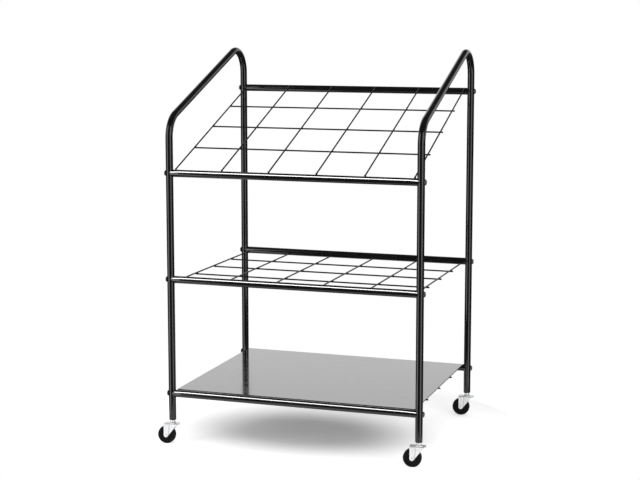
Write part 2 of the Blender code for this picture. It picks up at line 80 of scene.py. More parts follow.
# Lengths under POLE_SPREAD count as none, and edges bent by more than SHARP_ANGLE stay sharp.
# A support point stands SUPPORT_SHARE of a corner's cut away from it. An edge wears over
# WEAR_LENGTH, and GAP is the room between pieces that meet.
POLE_SPREAD = 1e-9
SHARP_ANGLE = math.radians(40)
SUPPORT_SHARE = 1.25
WEAR_LENGTH = 0.0003
GAP = 0.0003
QUARTER_TURN = math.pi / 2
ALONG_X = np.array([1.0, 0.0, 0.0])
ALONG_Y = np.array([0.0, 1.0, 0.0])
ALONG_Z = np.array([0.0, 0.0, 1.0])
WHITE = (1.0, 1.0, 1.0, 1.0)


class Where(Enum):
    """A place on the cart that the nodes' names mention."""

    @property
    def word(self) -> str:
        """Name as the nodes spell it."""
        return self.name.lower()


class Side(Where):
    """Side of the cart, with its sign along X."""

    LEFT = -1
    RIGHT = 1


class End(Where):
    """End of the cart, with its sign along Y."""

    FRONT = -1
    BACK = 1


class Shelf(Where):
    """Shelf of the cart, counted from the lowest."""

    BOTTOM = 0
    MIDDLE = 1
    TOP = 2


# Surfaces


@dataclass
class Surface:
    """One or more closed shells held as arrays.

    Attributes:
        points: Corner points, one row each.
        quads: Four point numbers a row.
        triangles: Three point numbers a row.
        wear: How exposed each point is, from -1 in a sharp hollow to 1 on a sharp edge.
    """

    points: Array
    quads: Array
    triangles: Array
    wear: Array

    def volume(self) -> float:
        """Work out six times the enclosed volume: the sum of a . (b x c) over all triangles.

        Returns:
            That volume, which is negative where the faces point in.
        """
        fans = np.vstack([self.quads[:, :3], self.quads[:, [0, 2, 3]], self.triangles])
        a, b, c = self.points[fans].transpose(1, 0, 2)
        return float(np.einsum("ij,ij->", a, np.cross(b, c)))

    def outward(self) -> "Surface":
        """Point the faces out, which a positive volume shows.

        Returns:
            The surface, or a copy with every face turned round.
        """
        if self.volume() >= 0:
            return self
        return Surface(self.points, self.quads[:, ::-1], self.triangles[:, ::-1], self.wear)

    def placed(self, origin: Array, axes: Array | None = None) -> "Surface":
        """Carry the surface into another frame.

        Args:
            origin: Where the surface's own origin goes.
            axes: Rows that say where its X, Y and Z axes point.

        Returns:
            The moved surface.
        """
        points = self.points if axes is None else self.points @ np.asarray(axes)
        return Surface(points + np.asarray(origin), self.quads, self.triangles, self.wear)


def round_angles(steps: int) -> Array:
    """Angles of even steps round a full turn."""
    return np.arange(steps) * 2 * math.pi / steps


def grid_surface(grid: Array, wear: Array | None = None, wrap_rows: bool = False) -> Surface:
    """Make a surface from a grid of points, with one face for each cell.

    The last column joins the first. A row whose points all meet becomes one pole, and the
    cells beside it triangles.

    Args:
        grid: Points in rows and columns.
        wear: Wear of each row or each point, or None for none.
        wrap_rows: Whether the last row joins the first.

    Returns:
        The surface, with its faces pointing out.
    """
    rows, columns = grid.shape[:2]
    index = np.arange(rows * columns).reshape(rows, columns)
    poles = np.abs(grid - grid[:, :1]).max(axis=(1, 2)) < POLE_SPREAD
    index[poles] = index[poles, :1]
    if wrap_rows:
        index = np.vstack([index, index[:1]])
    index = np.hstack([index, index[:, :1]])
    cells = np.stack([index[:-1, :-1], index[:-1, 1:], index[1:, 1:], index[1:, :-1]], -1)
    cells = cells.reshape(-1, 4)
    low = cells[:, 0] == cells[:, 1]
    high = cells[:, 2] == cells[:, 3]
    quads = cells[~(low | high)]
    triangles = np.vstack([cells[low & ~high][:, 1:], cells[high & ~low][:, :3]])
    used = np.unique(np.concatenate([quads.ravel(), triangles.ravel()]))
    renumber = np.zeros(rows * columns, int)
    renumber[used] = np.arange(len(used))
    row_wear = np.zeros(rows) if wear is None else np.asarray(wear, float)
    all_wear = np.broadcast_to(row_wear.reshape(rows, -1), (rows, columns)).ravel()
    surface = Surface(grid.reshape(-1, 3)[used], renumber[quads], renumber[triangles], all_wear[used])
    return surface.outward()


def joined(parts: list[Surface]) -> Surface:
    """Gather several surfaces into one.

    Args:
        parts: The surfaces.

    Returns:
        One surface that holds every shell.
    """
    starts = np.cumsum([0] + [len(part.points) for part in parts[:-1]])
    return Surface(
        np.vstack([part.points for part in parts]),
        np.vstack([part.quads + start for part, start in zip(parts, starts)]),
        np.vstack([part.triangles + start for part, start in zip(parts, starts)]),
        np.concatenate([part.wear for part in parts]))


def rounded(places: list[Span], radii: tuple[float, ...]) -> list[Corner]:
    """Give each place on an outline the radius of its corner."""
    return [(*place, radius) for place, radius in zip(places, radii, strict=True)]


def mirrored(half: list[Corner]) -> list[Corner]:
    """Mirror half an outline across its first axis, in the order that carries it on."""
    return [(along, -across, radius) for along, across, radius in reversed(half)]


def filleted(corners: list[Corner], closed: bool = False, steps: int = 4, supports: bool = True) -> Array:
    """Round the corners of an outline.

    At a corner both sides are cut back by radius / tan(half the angle between them), and the
    new points follow the arc that touches both. A support point a little further out on each
    side keeps the shading of flat stretches flat.

    Args:
        corners: Each corner's two coordinates and its radius.
        closed: Whether the last corner joins the first.
        steps: Steps along each arc.
        supports: Whether support points are added.

    Returns:
        Points of the outline, one row each.
    """
    points = []
    places = np.array([corner[:2] for corner in corners])
    share = np.linspace(0, 1, steps + 1)[:, None]
    for number, (_, _, radius) in enumerate(corners):
        is_end = not closed and number in (0, len(corners) - 1)
        here = places[number]
        if radius == 0 or is_end:
            points.append(here[None])
            continue
        back = places[number - 1] - here
        ahead = places[(number + 1) % len(corners)] - here
        back /= np.linalg.norm(back)
        ahead /= np.linalg.norm(ahead)
        between = math.acos(float(np.clip(back @ ahead, -1, 1)))
        cut = radius / math.tan(between / 2)
        middle = (back + ahead) / np.linalg.norm(back + ahead)
        centre = here + middle * radius / math.sin(between / 2)
        start, end = here + back * cut - centre, here + ahead * cut - centre
        turn = math.pi - between
        swung = np.sin((1 - share) * turn) * start + np.sin(share * turn) * end
        arc = centre + swung / math.sin(turn)
        if supports:
            reach = cut * SUPPORT_SHARE
            points += [(here + back * reach)[None], arc, (here + ahead * reach)[None]]
        else:
            points.append(arc)
    return np.vstack(points)


def outline_wear(outline: Array, closed: bool) -> Array:
    """Work out where an outline is an exposed edge or a hollow.

    The wear is the outline's bend over the length around a point, times the length over
    which an edge wears, cut off at 1 for outside corners and at -1 for inside ones.

    Args:
        outline: Points of the outline.
        closed: Whether the last point joins the first. An open outline closes along its axis.

    Returns:
        Wear of each point, from -1 to 1.
    """
    x, y = outline.T
    area = np.sum(x * np.roll(y, -1) - np.roll(x, -1) * y)
    ahead = np.roll(outline, -1, axis=0) - outline
    back = outline - np.roll(outline, 1, axis=0)
    lengths = np.linalg.norm(ahead, axis=1) + np.linalg.norm(back, axis=1)
    cross = back[:, 0] * ahead[:, 1] - back[:, 1] * ahead[:, 0]
    turn = np.arctan2(cross, np.sum(back * ahead, axis=1))
    wear = np.clip(np.sign(area) * turn / np.maximum(lengths / 2, POLE_SPREAD) * WEAR_LENGTH, -1, 1)
    if not closed:
        wear[[0, -1]] = 0
    return wear


def turned(profile: Array, sides: int, closed: bool = False) -> Surface:
    """Turn a profile about +Z: (r cos t, r sin t, h) for each profile point and angle t.

    Args:
        profile: Points as radius and height. An open profile starts and ends on the axis.
        sides: Steps round the axis.
        closed: Whether the profile is a ring that stays off the axis.

    Returns:
        The turned surface.
    """
    turn = round_angles(sides)
    radius, height = profile[:, :1], profile[:, 1:]
    grid = np.stack([radius * np.cos(turn), radius * np.sin(turn), height + 0 * turn], -1)
    return grid_surface(grid, outline_wear(profile, closed), wrap_rows=closed)


def bead(radii: Place, ripple: float = 0.09, ripples: int = 3, rows: int = 9, columns: int = 16) -> Surface:
    """Make a weld bead: an ellipsoid whose girth swells and shrinks like a cosine.

    Args:
        radii: Half sizes along X, Y and Z.
        ripple: Share by which the girth ripples.
        ripples: Ripples round the girth.
        rows: Rows from pole to pole.
        columns: Columns round the girth.

    Returns:
        The bead about the origin.
    """
    polar = np.linspace(0, math.pi, rows)[:, None]
    turn = round_angles(columns)
    swell = 1 + ripple * np.sin(polar) ** 2 * np.cos(ripples * turn)
    grid = np.stack([
        radii[0] * np.sin(polar) * np.cos(turn) * swell,
        radii[1] * np.sin(polar) * np.sin(turn) * swell,
        radii[2] * np.cos(polar) + 0 * turn], -1)
    return grid_surface(grid)


def aimed(direction: Array) -> Array:
    """Make axes whose Z points along a direction and whose X is level, as rows for Surface.placed.

    Args:
        direction: Where Z goes, which isn't straight up or down.

    Returns:
        Three unit rows.
    """
    z = np.asarray(direction, float) / np.linalg.norm(direction)
    x = np.cross(ALONG_Z, z)
    x /= np.linalg.norm(x)
    return np.stack([x, np.cross(z, x), z])


def about_z(turn: float) -> Array:
    """Axes turned about Z by an angle, as rows for Surface.placed."""
    ahead = np.array([math.cos(turn), math.sin(turn), 0.0])
    return np.stack([ahead, np.cross(ALONG_Z, ahead), ALONG_Z])


# Shading


class Graph:
    """A short way to add and join the nodes of one shader tree."""

    def __init__(self, tree: bpy.types.NodeTree) -> None:
        """Hold the shader tree that the nodes go into."""
        self.tree = tree

    def add(self, kind: str, settings: dict[str, object] | None = None, **inputs: object) -> bpy.types.Node:
        """Add a node.

        Args:
            kind: Node type without its ShaderNode prefix.
            settings: Properties of the node itself.
            inputs: Values or sockets for its inputs, by name with _ for a blank, or by i and a number.

        Returns:
            The node.
        """
        node = self.tree.nodes.new("ShaderNode" + kind)
        for key, value in (settings or {}).items():
            setattr(node, key, value)
        for key, value in inputs.items():
            number = key[1:]
            self.feed(value, node.inputs[int(number) if number.isdigit() else key.replace("_", " ")])
        return node

    def feed(self, value: object, socket: bpy.types.NodeSocket) -> None:
        """Give an input its value, or link it to the output that makes it.

        Args:
            value: A plain value or an output socket.
            socket: The input.
        """
        if isinstance(value, bpy.types.NodeSocket):
            self.tree.links.new(value, socket)
        else:
            socket.default_value = value

    def math(self, operation: str, first: object, second: object = 0.0,
             clamp: bool = False) -> bpy.types.NodeSocket:
        """Add one sum and return its result."""
        node = self.add("Math", {"operation": operation, "use_clamp": clamp}, i0=first, i1=second)
        return node.outputs[0]

    def product(self, first: object, second: object, clamp: bool = False) -> bpy.types.NodeSocket:
        """Multiply two values and return the result."""
        return self.math("MULTIPLY", first, second, clamp)

    def ranged(self, value: object, low: float, high: float, to_low: object = 0.0,
               to_high: object = 1.0) -> bpy.types.NodeSocket:
        """Map a value from one range to another, smoothly and without overshoot.

        Args:
            value: The value.
            low: Start of its range, which may be the greater end.
            high: End of its range.
            to_low: What the start becomes.
            to_high: What the end becomes.

        Returns:
            The mapped value.
        """
        node = self.add("MapRange", {"interpolation_type": "SMOOTHSTEP"},
                        i0=value, i1=low, i2=high, i3=to_low, i4=to_high)
        return node.outputs[0]

    def blend(self, share: object, first: object, second: object) -> bpy.types.NodeSocket:
        """Mix two colours by a share and return the colour."""
        return self.add("Mix", {"data_type": "RGBA"}, i0=share, i6=first, i7=second).outputs[2]

    def noise(self, place: bpy.types.NodeSocket, scale: object, detail: float,
              roughness: float = 0.5) -> bpy.types.NodeSocket:
        """Add noise over a place and return its value."""
        return self.add("TexNoise", Vector=place, Scale=scale, Detail=detail, Roughness=roughness).outputs[0]


class Effect(Enum):
    """A shader effect that several finishes share, made once as a node group."""

    MOTTLE = "mottle"
    PEEL = "peel"
    WEAR = "wear"
    GRIME = "grime"
    DUST = "dust"


def rgba(colour: Colour) -> tuple[float, float, float, float]:
    """Colour with full alpha."""
    return (*colour, 1.0)


def new_group(effect: Effect, inputs: dict[str, float],
              output: str) -> tuple[Graph, dict[str, bpy.types.NodeSocket], bpy.types.NodeSocket]:
    """Start a node group with named value sockets.

    Args:
        effect: The effect that the group makes.
        inputs: Names and defaults of the inputs.
        output: Name of the output.

    Returns:
        The group's graph, the sockets that bring its inputs and the one that takes its output.
    """
    tree = bpy.data.node_groups.new(effect.value, "ShaderNodeTree")
    for name, value in inputs.items():
        socket = tree.interface.new_socket(name=name, in_out="INPUT", socket_type="NodeSocketFloat")
        socket.default_value = value
    tree.interface.new_socket(name=output, in_out="OUTPUT", socket_type="NodeSocketFloat")
    entry = tree.nodes.new("NodeGroupInput")
    leave = tree.nodes.new("NodeGroupOutput")
    return Graph(tree), dict(entry.outputs.items()), leave.inputs[output]


def make_mottle() -> bpy.types.NodeTree:
    """Make soft uneven patches: two sizes of noise over the piece, from 0 to 1.

    Returns:
        The node group.
    """
    graph, given, value = new_group(Effect.MOTTLE, {"Scale": 12.0}, "Value")
    fine_scale, broad_share, fine_share, fade = 7.0, 0.7, 0.3, (0.34, 0.66)
    place = graph.add("TexCoord").outputs["Object"]
    broad = graph.noise(place, given["Scale"], detail=3.0, roughness=0.55)
    fine = graph.noise(place, graph.product(given["Scale"], fine_scale), detail=2.0)
    both = graph.math("ADD", graph.product(broad, broad_share), graph.product(fine, fine_share))
    graph.feed(graph.ranged(both, *fade), value)
    return graph.tree


def make_peel() -> bpy.types.NodeTree:
    """Make the height of a sprayed or moulded skin: low waves with fine grain on them.

    Returns:
        The node group.
    """
    graph, given, height = new_group(Effect.PEEL, {"Wave Scale": 420.0, "Grain": 0.25}, "Height")
    grain_scale = 6.0
    place = graph.add("TexCoord").outputs["Object"]
    wave = graph.noise(place, given["Wave Scale"], detail=1.5, roughness=0.4)
    grain = graph.noise(place, graph.product(given["Wave Scale"], grain_scale), detail=2.0)
    graph.feed(graph.math("ADD", wave, graph.product(grain, given["Grain"])), height)
    return graph.tree


def make_wear() -> bpy.types.NodeTree:
    """Make the mask of rubbed edges: the piece's own wear, broken up by noise.

    Returns:
        The node group.
    """
    graph, given, mask = new_group(Effect.WEAR, {"Amount": 0.5, "Scale": 350.0}, "Mask")
    least_level, fade = 0.35, (0.0, 0.12)
    edge = graph.add("Attribute", {"attribute_name": "wear"}).outputs["Fac"]
    place = graph.add("TexCoord").outputs["Object"]
    chips = graph.noise(place, given["Scale"], detail=4.0, roughness=0.65)
    level = graph.product(edge, graph.math("ADD", given["Amount"], least_level))
    shown = graph.ranged(graph.math("SUBTRACT", level, chips), *fade)
    graph.feed(graph.product(shown, given["Amount"]), mask)
    return graph.tree


def make_grime() -> bpy.types.NodeTree:
    """Make the mask of hollows darkened by dirt and painted shade: the negative side of the piece's wear,
    uneven.

    Returns:
        The node group.
    """
    graph, given, mask = new_group(Effect.GRIME, {"Amount": 0.5, "Scale": 500.0}, "Mask")
    spread, least_cover = 0.6, 0.7
    # Painted shade and dirt: the deeper the hollow, the darker it is painted.
    hollow = graph.product(graph.add("Attribute", {"attribute_name": "wear"}).outputs["Fac"], -1.0)
    place = graph.add("TexCoord").outputs["Object"]
    cover = graph.noise(place, given["Scale"], detail=3.0)
    uneven = graph.math("ADD", graph.product(cover, spread), least_cover)
    level = graph.product(graph.math("MAXIMUM", hollow, 0.0), uneven)
    graph.feed(graph.product(level, given["Amount"], clamp=True), mask)
    return graph.tree


def make_dust() -> bpy.types.NodeTree:
    """Make the mask of settled dust: what faces up, in uneven patches with some specks.

    Returns:
        The node group.
    """
    graph, given, mask = new_group(Effect.DUST, {"Amount": 0.3, "Scale": 40.0}, "Mask")
    speck_scale, speck_fade, level_fade, patch_fade = 9.0, (0.10, 0.04), (0.35, 0.95), (0.38, 0.72)
    coordinates = graph.add("TexCoord")
    up = graph.add("SeparateXYZ", Vector=coordinates.outputs["Normal"]).outputs["Z"]
    place = coordinates.outputs["Object"]
    patches = graph.noise(place, given["Scale"], detail=6.0, roughness=0.7)
    specks = graph.add("TexVoronoi", Vector=place, Scale=graph.product(given["Scale"], speck_scale))
    spots = graph.ranged(specks.outputs["Distance"], *speck_fade)
    lying = graph.product(graph.ranged(up, *level_fade), graph.ranged(patches, *patch_fade))
    both = graph.math("ADD", lying, graph.product(spots, lying))
    graph.feed(graph.product(both, given["Amount"], clamp=True), mask)
    return graph.tree


MAKERS: dict[Effect, Callable[[], bpy.types.NodeTree]] = {
    Effect.MOTTLE: make_mottle,
    Effect.PEEL: make_peel,
    Effect.WEAR: make_wear,
    Effect.GRIME: make_grime,
    Effect.DUST: make_dust,
}


def use_effect(graph: Graph, effect: Effect, **inputs: float) -> bpy.types.NodeSocket:
    """Place a shared effect in a material. Its node group is made at its first use.

    Args:
        graph: The material's graph.
        effect: Which effect.
        inputs: Its values, by name with _ for a blank.

    Returns:
        The effect's output.
    """
    group = bpy.data.node_groups.get(effect.value) or MAKERS[effect]()
    return graph.add("Group", {"node_tree": group}, **inputs).outputs[0]


@dataclass(frozen=True)
class Finish:
    """A finish: a skin with uneven gloss, fine relief, rubbed edges and a little dust.

    Attributes:
        name: Name of the material.
        slot: Material slot of the record; not used.
        colour: Colour of the clean skin.
        second_colour: Colour of the skin's other patches.
        bare_colour: Colour under a rubbed edge.
        roughness: Lowest roughness.
        roughness_spread: What patches add to it.
        metallic: Metallic value of the skin.
        bare_metallic: Metallic value under a rubbed edge.
        mottle_scale: Scale of the patches.
        wave_scale: Scale of the relief.
        grain: Share of fine grain in the relief.
        relief: Height of the relief in metres.
        wear: Amount of rubbing at edges.
        grime: Amount of dirt and painted shade in hollows.
        dust: Amount of dust.
        ior: Index of refraction.
        specular: Specular IOR level.
        coat: Weight of a clear coat.
        coat_roughness: Roughness of the clear coat.
        rubbed_roughness: What rubbing adds to the roughness.
        dusty_roughness: What dust and the dirt and painted shade of hollows add to it.
        grime_colour: Colour of dirt and of painted shade in hollows.
        dust_colour: Colour of dust.
    """

    name: str
    slot: str
    colour: Colour
    second_colour: Colour
    bare_colour: Colour = (0.42, 0.41, 0.40)
    roughness: float = 0.2
    roughness_spread: float = 0.1
    metallic: float = 0.0
    bare_metallic: float = 1.0
    mottle_scale: float = 12.0
    wave_scale: float = 420.0
    grain: float = 0.25
    relief: float = 0.00002
    wear: float = 0.3
    grime: float = 0.6
    dust: float = 0.1
    ior: float = 1.5
    specular: float = 0.5
    coat: float = 0.0
    coat_roughness: float = 0.1
    rubbed_roughness: float = 0.15
    dusty_roughness: float = 0.45
    grime_colour: Colour = (0.030, 0.028, 0.026)
    dust_colour: Colour = (0.30, 0.29, 0.28)

    def material(self) -> bpy.types.Material:
        """Build the material, or return it if it is there.

        Returns:
            The material.
        """
        made = bpy.data.materials.get(self.name)
        if made:
            return made
        made = bpy.data.materials.new(self.name)
        made.use_nodes = True
        graph = Graph(made.node_tree)
        sockets = made.node_tree.nodes["Principled BSDF"].inputs
        mottle = use_effect(graph, Effect.MOTTLE, Scale=self.mottle_scale)
        peel = use_effect(graph, Effect.PEEL, Wave_Scale=self.wave_scale, Grain=self.grain)
        wear = use_effect(graph, Effect.WEAR, Amount=self.wear)
        # Hollows are darkened by dirt and by painted shade.
        grime = use_effect(graph, Effect.GRIME, Amount=self.grime)
        dust = use_effect(graph, Effect.DUST, Amount=self.dust)
        skin = graph.blend(mottle, rgba(self.colour), rgba(self.second_colour))
        rubbed = graph.blend(wear, skin, rgba(self.bare_colour))
        soiled_and_shaded = graph.blend(grime, rubbed, rgba(self.grime_colour))
        graph.feed(graph.blend(dust, soiled_and_shaded, rgba(self.dust_colour)), sockets["Base Color"])
        dust_grime_and_shade = graph.math("ADD", dust, grime)
        rough = graph.math("ADD", graph.product(mottle, self.roughness_spread), self.roughness)
        rough = graph.math("ADD", rough, graph.product(wear, self.rubbed_roughness))
        rough = graph.math("ADD", rough, graph.product(dust_grime_and_shade, self.dusty_roughness), clamp=True)
        graph.feed(rough, sockets["Roughness"])
        metal = graph.product(wear, self.bare_metallic - self.metallic)
        graph.feed(graph.math("ADD", metal, self.metallic, clamp=True), sockets["Metallic"])
        bump = graph.add("Bump", Distance=self.relief, Strength=1.0, Height=peel)
        graph.feed(bump.outputs[0], sockets["Normal"])
        if self.coat:
            clear_of_dust_and_shade = graph.math("SUBTRACT", 1.0, dust_grime_and_shade, clamp=True)
            graph.feed(graph.product(clear_of_dust_and_shade, self.coat), sockets["Coat Weight"])
        sockets["IOR"].default_value = self.ior
        sockets["Specular IOR Level"].default_value = self.specular
        sockets["Coat Roughness"].default_value = self.coat_roughness
        return made


GLOSS_PAINT = Finish(
    "gloss_black_paint", "frame_black", (0.0030, 0.0030, 0.0034), (0.0045, 0.0044, 0.0046),
    roughness=0.06, roughness_spread=0.06, grain=0.05, relief=0.000005, wear=0.25, dust=0.03)
WIRE_PAINT = Finish(
    "wire_black_paint", "wire_black", (0.0030, 0.0030, 0.0034), (0.0050, 0.0050, 0.0052),
    roughness=0.16, roughness_spread=0.10, relief=0.00001, wear=0.35, dust=0.03, mottle_scale=30.0,
    specular=0.18)
BOARD_LACQUER = Finish(
    "board_black_lacquer", "board_black", (0.0050, 0.0050, 0.0054), (0.0075, 0.0074, 0.0076),
    bare_colour=(0.16, 0.15, 0.14), bare_metallic=0.0, roughness=0.09, roughness_spread=0.07,
    relief=0.000008, wave_scale=160.0, grain=0.12, wear=0.2, grime=1.0, dust=0.06, mottle_scale=7.0,
    ior=1.6, coat=0.85, coat_roughness=0.06)
SCREW_BLACK = Finish(
    "screw_black_oxide", "screw_black", (0.022, 0.022, 0.023), (0.034, 0.033, 0.033),
    roughness=0.24, roughness_spread=0.14, relief=0.00001, wear=0.5, mottle_scale=90.0, specular=0.9)
ZINC = Finish(
    "bright_zinc", "zinc", (0.88, 0.89, 0.90), (0.79, 0.80, 0.82), bare_colour=(0.60, 0.60, 0.60),
    roughness=0.26, roughness_spread=0.14, metallic=0.6, relief=0.00001, wave_scale=700.0,
    wear=0.4, dust=0.04, mottle_scale=160.0)
STEEL = Finish(
    "turned_steel", "steel", (0.86, 0.86, 0.87), (0.76, 0.76, 0.78), bare_colour=(0.55, 0.55, 0.55),
    roughness=0.28, roughness_spread=0.12, metallic=0.75, relief=0.000006, wave_scale=900.0,
    wear=0.3, dust=0.03, mottle_scale=220.0)
WHEEL_BLACK = Finish(
    "moulded_black_tread", "wheel_black", (0.0030, 0.0030, 0.0032), (0.0055, 0.0055, 0.0056),
    bare_colour=(0.05, 0.05, 0.05), bare_metallic=0.0, roughness=0.34, roughness_spread=0.16,
    relief=0.00003, wave_scale=900.0, grain=0.5, wear=0.4, dust=0.02, mottle_scale=60.0, specular=0.1)
SOCKET_BLACK = Finish(
    "moulded_black_socket", "socket_black", (0.010, 0.010, 0.011), (0.015, 0.015, 0.015),
    bare_colour=(0.05, 0.05, 0.05), bare_metallic=0.0, roughness=0.38, roughness_spread=0.12,
    relief=0.00003, wave_scale=900.0, grain=0.5, wear=0.3, dust=0.04, mottle_scale=60.0)


# Placing pieces

BODY_OF = {node: body for body, nodes in frame["record"]["behaviour"]["bodies"].items() for node in nodes}


def finished(node: str) -> str:
    """Name of the piece that stands for a CAD node."""
    return node + "_finished"


def place_piece(node: str, surface: Surface, finish: Finish) -> None:
    """Put a finished surface in the place of a CAD node.

    Args:
        node: The node that it stands for, whose body it rides on.
        surface: The surface in the frame's own place.
        finish: Its finish.
    """
    name = finished(node)
    mesh = bpy.data.meshes.new(name)
    mesh.from_pydata(surface.points.tolist(), [], surface.quads.tolist() + surface.triangles.tolist())
    worn = mesh.attributes.new("wear", "FLOAT", "POINT")
    worn.data.foreach_set("value", surface.wear.astype(np.float32))
    mesh.materials.append(finish.material())
    mesh.shade_smooth()
    mesh.set_sharp_from_angle(angle=SHARP_ANGLE)
    piece = bpy.data.objects.new(name, mesh)
    bpy.context.scene.collection.objects.link(piece)
    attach(piece, BODY_OF[node])
    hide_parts(node)
    log.info("%s: %d faces in %s", name, len(mesh.polygons), finish.name)


def middle_of(node: str) -> Array:
    """Middle of a CAD node's box."""
    low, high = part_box(node)
    return (np.array(low) + np.array(high)) / 2


def size_of(node: str) -> Array:
    """Size of a CAD node's box along X, Y and Z."""
    low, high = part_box(node)
    return np.array(high) - np.array(low)


@dataclass(frozen=True)
class Layout:
    """Axes and heights of the cart, read from the frame.

    Attributes:
        tube_radius: Outer radius of the legs and rails.
        tube_wall: Wall of the legs.
        leg_x: Place of each side's legs along X.
        leg_y: Place of each end's legs along Y.
        leg_bottom: Height of the legs' lower ends.
        rail_z: Height of each rail's axis.
        slope: Angle by which the top shelf climbs to the back.
    """

    tube_radius: float
    tube_wall: float
    leg_x: dict[Side, float]
    leg_y: dict[End, float]
    leg_bottom: float
    rail_z: dict[tuple[Shelf, End], float]
    slope: float

    @classmethod
    def read(cls, tube_radius: float, tube_wall: float) -> "Layout":
        """Read the places from the nodes' boxes.

        Args:
            tube_radius: Radius of the legs, which the box of a side frame includes.
            tube_wall: Wall of the legs.

        Returns:
            The layout.
        """
        leg_x = {side: float(middle_of(f"{side.word}_side_frame")[0]) for side in Side}
        low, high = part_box("left_side_frame")
        leg_y = {End.FRONT: low.y + tube_radius, End.BACK: high.y - tube_radius}
        rail_z = {(shelf, end): float(middle_of(f"{shelf.word}_{end.word}_rail")[2])
                  for shelf in Shelf for end in End}
        climb = rail_z[Shelf.TOP, End.BACK] - rail_z[Shelf.TOP, End.FRONT]
        slope = math.atan2(climb, leg_y[End.BACK] - leg_y[End.FRONT])
        return cls(tube_radius, tube_wall, leg_x, leg_y, low.z, rail_z, slope)

    def rail_middle(self, shelf: Shelf, end: End) -> Array:
        """Middle of a rail's axis."""
        return np.array([sum(self.leg_x.values()) / 2, self.leg_y[end], self.rail_z[shelf, end]])

    def leg_point(self, side: Side, end: End, height: float = 0.0) -> Array:
        """Point on a leg's axis at a height."""
        return np.array([self.leg_x[side], self.leg_y[end], height])


class Assembly:
    """A group of pieces that are shaped together and then dressed.

    Attributes:
        finish: Finish of its pieces, where they all share one.
    """

    finish: ClassVar[Finish]

    def build(self, layout: Layout) -> dict[str, Surface]:
        """Shape the pieces, by the node that each one stands for."""
        raise NotImplementedError

    def finish_of(self, node: str) -> Finish:
        """Finish of the piece that stands for a node."""
        return self.finish

    def dress(self, surfaces: dict[str, Surface]) -> None:
        """Put each piece in its node's place, in its finish.

        Args:
            surfaces: The shapes, by node.
        """
        for node, surface in surfaces.items():
            place_piece(node, surface, self.finish_of(node))
        log.info("%s: %d pieces", type(self).__name__, len(surfaces))


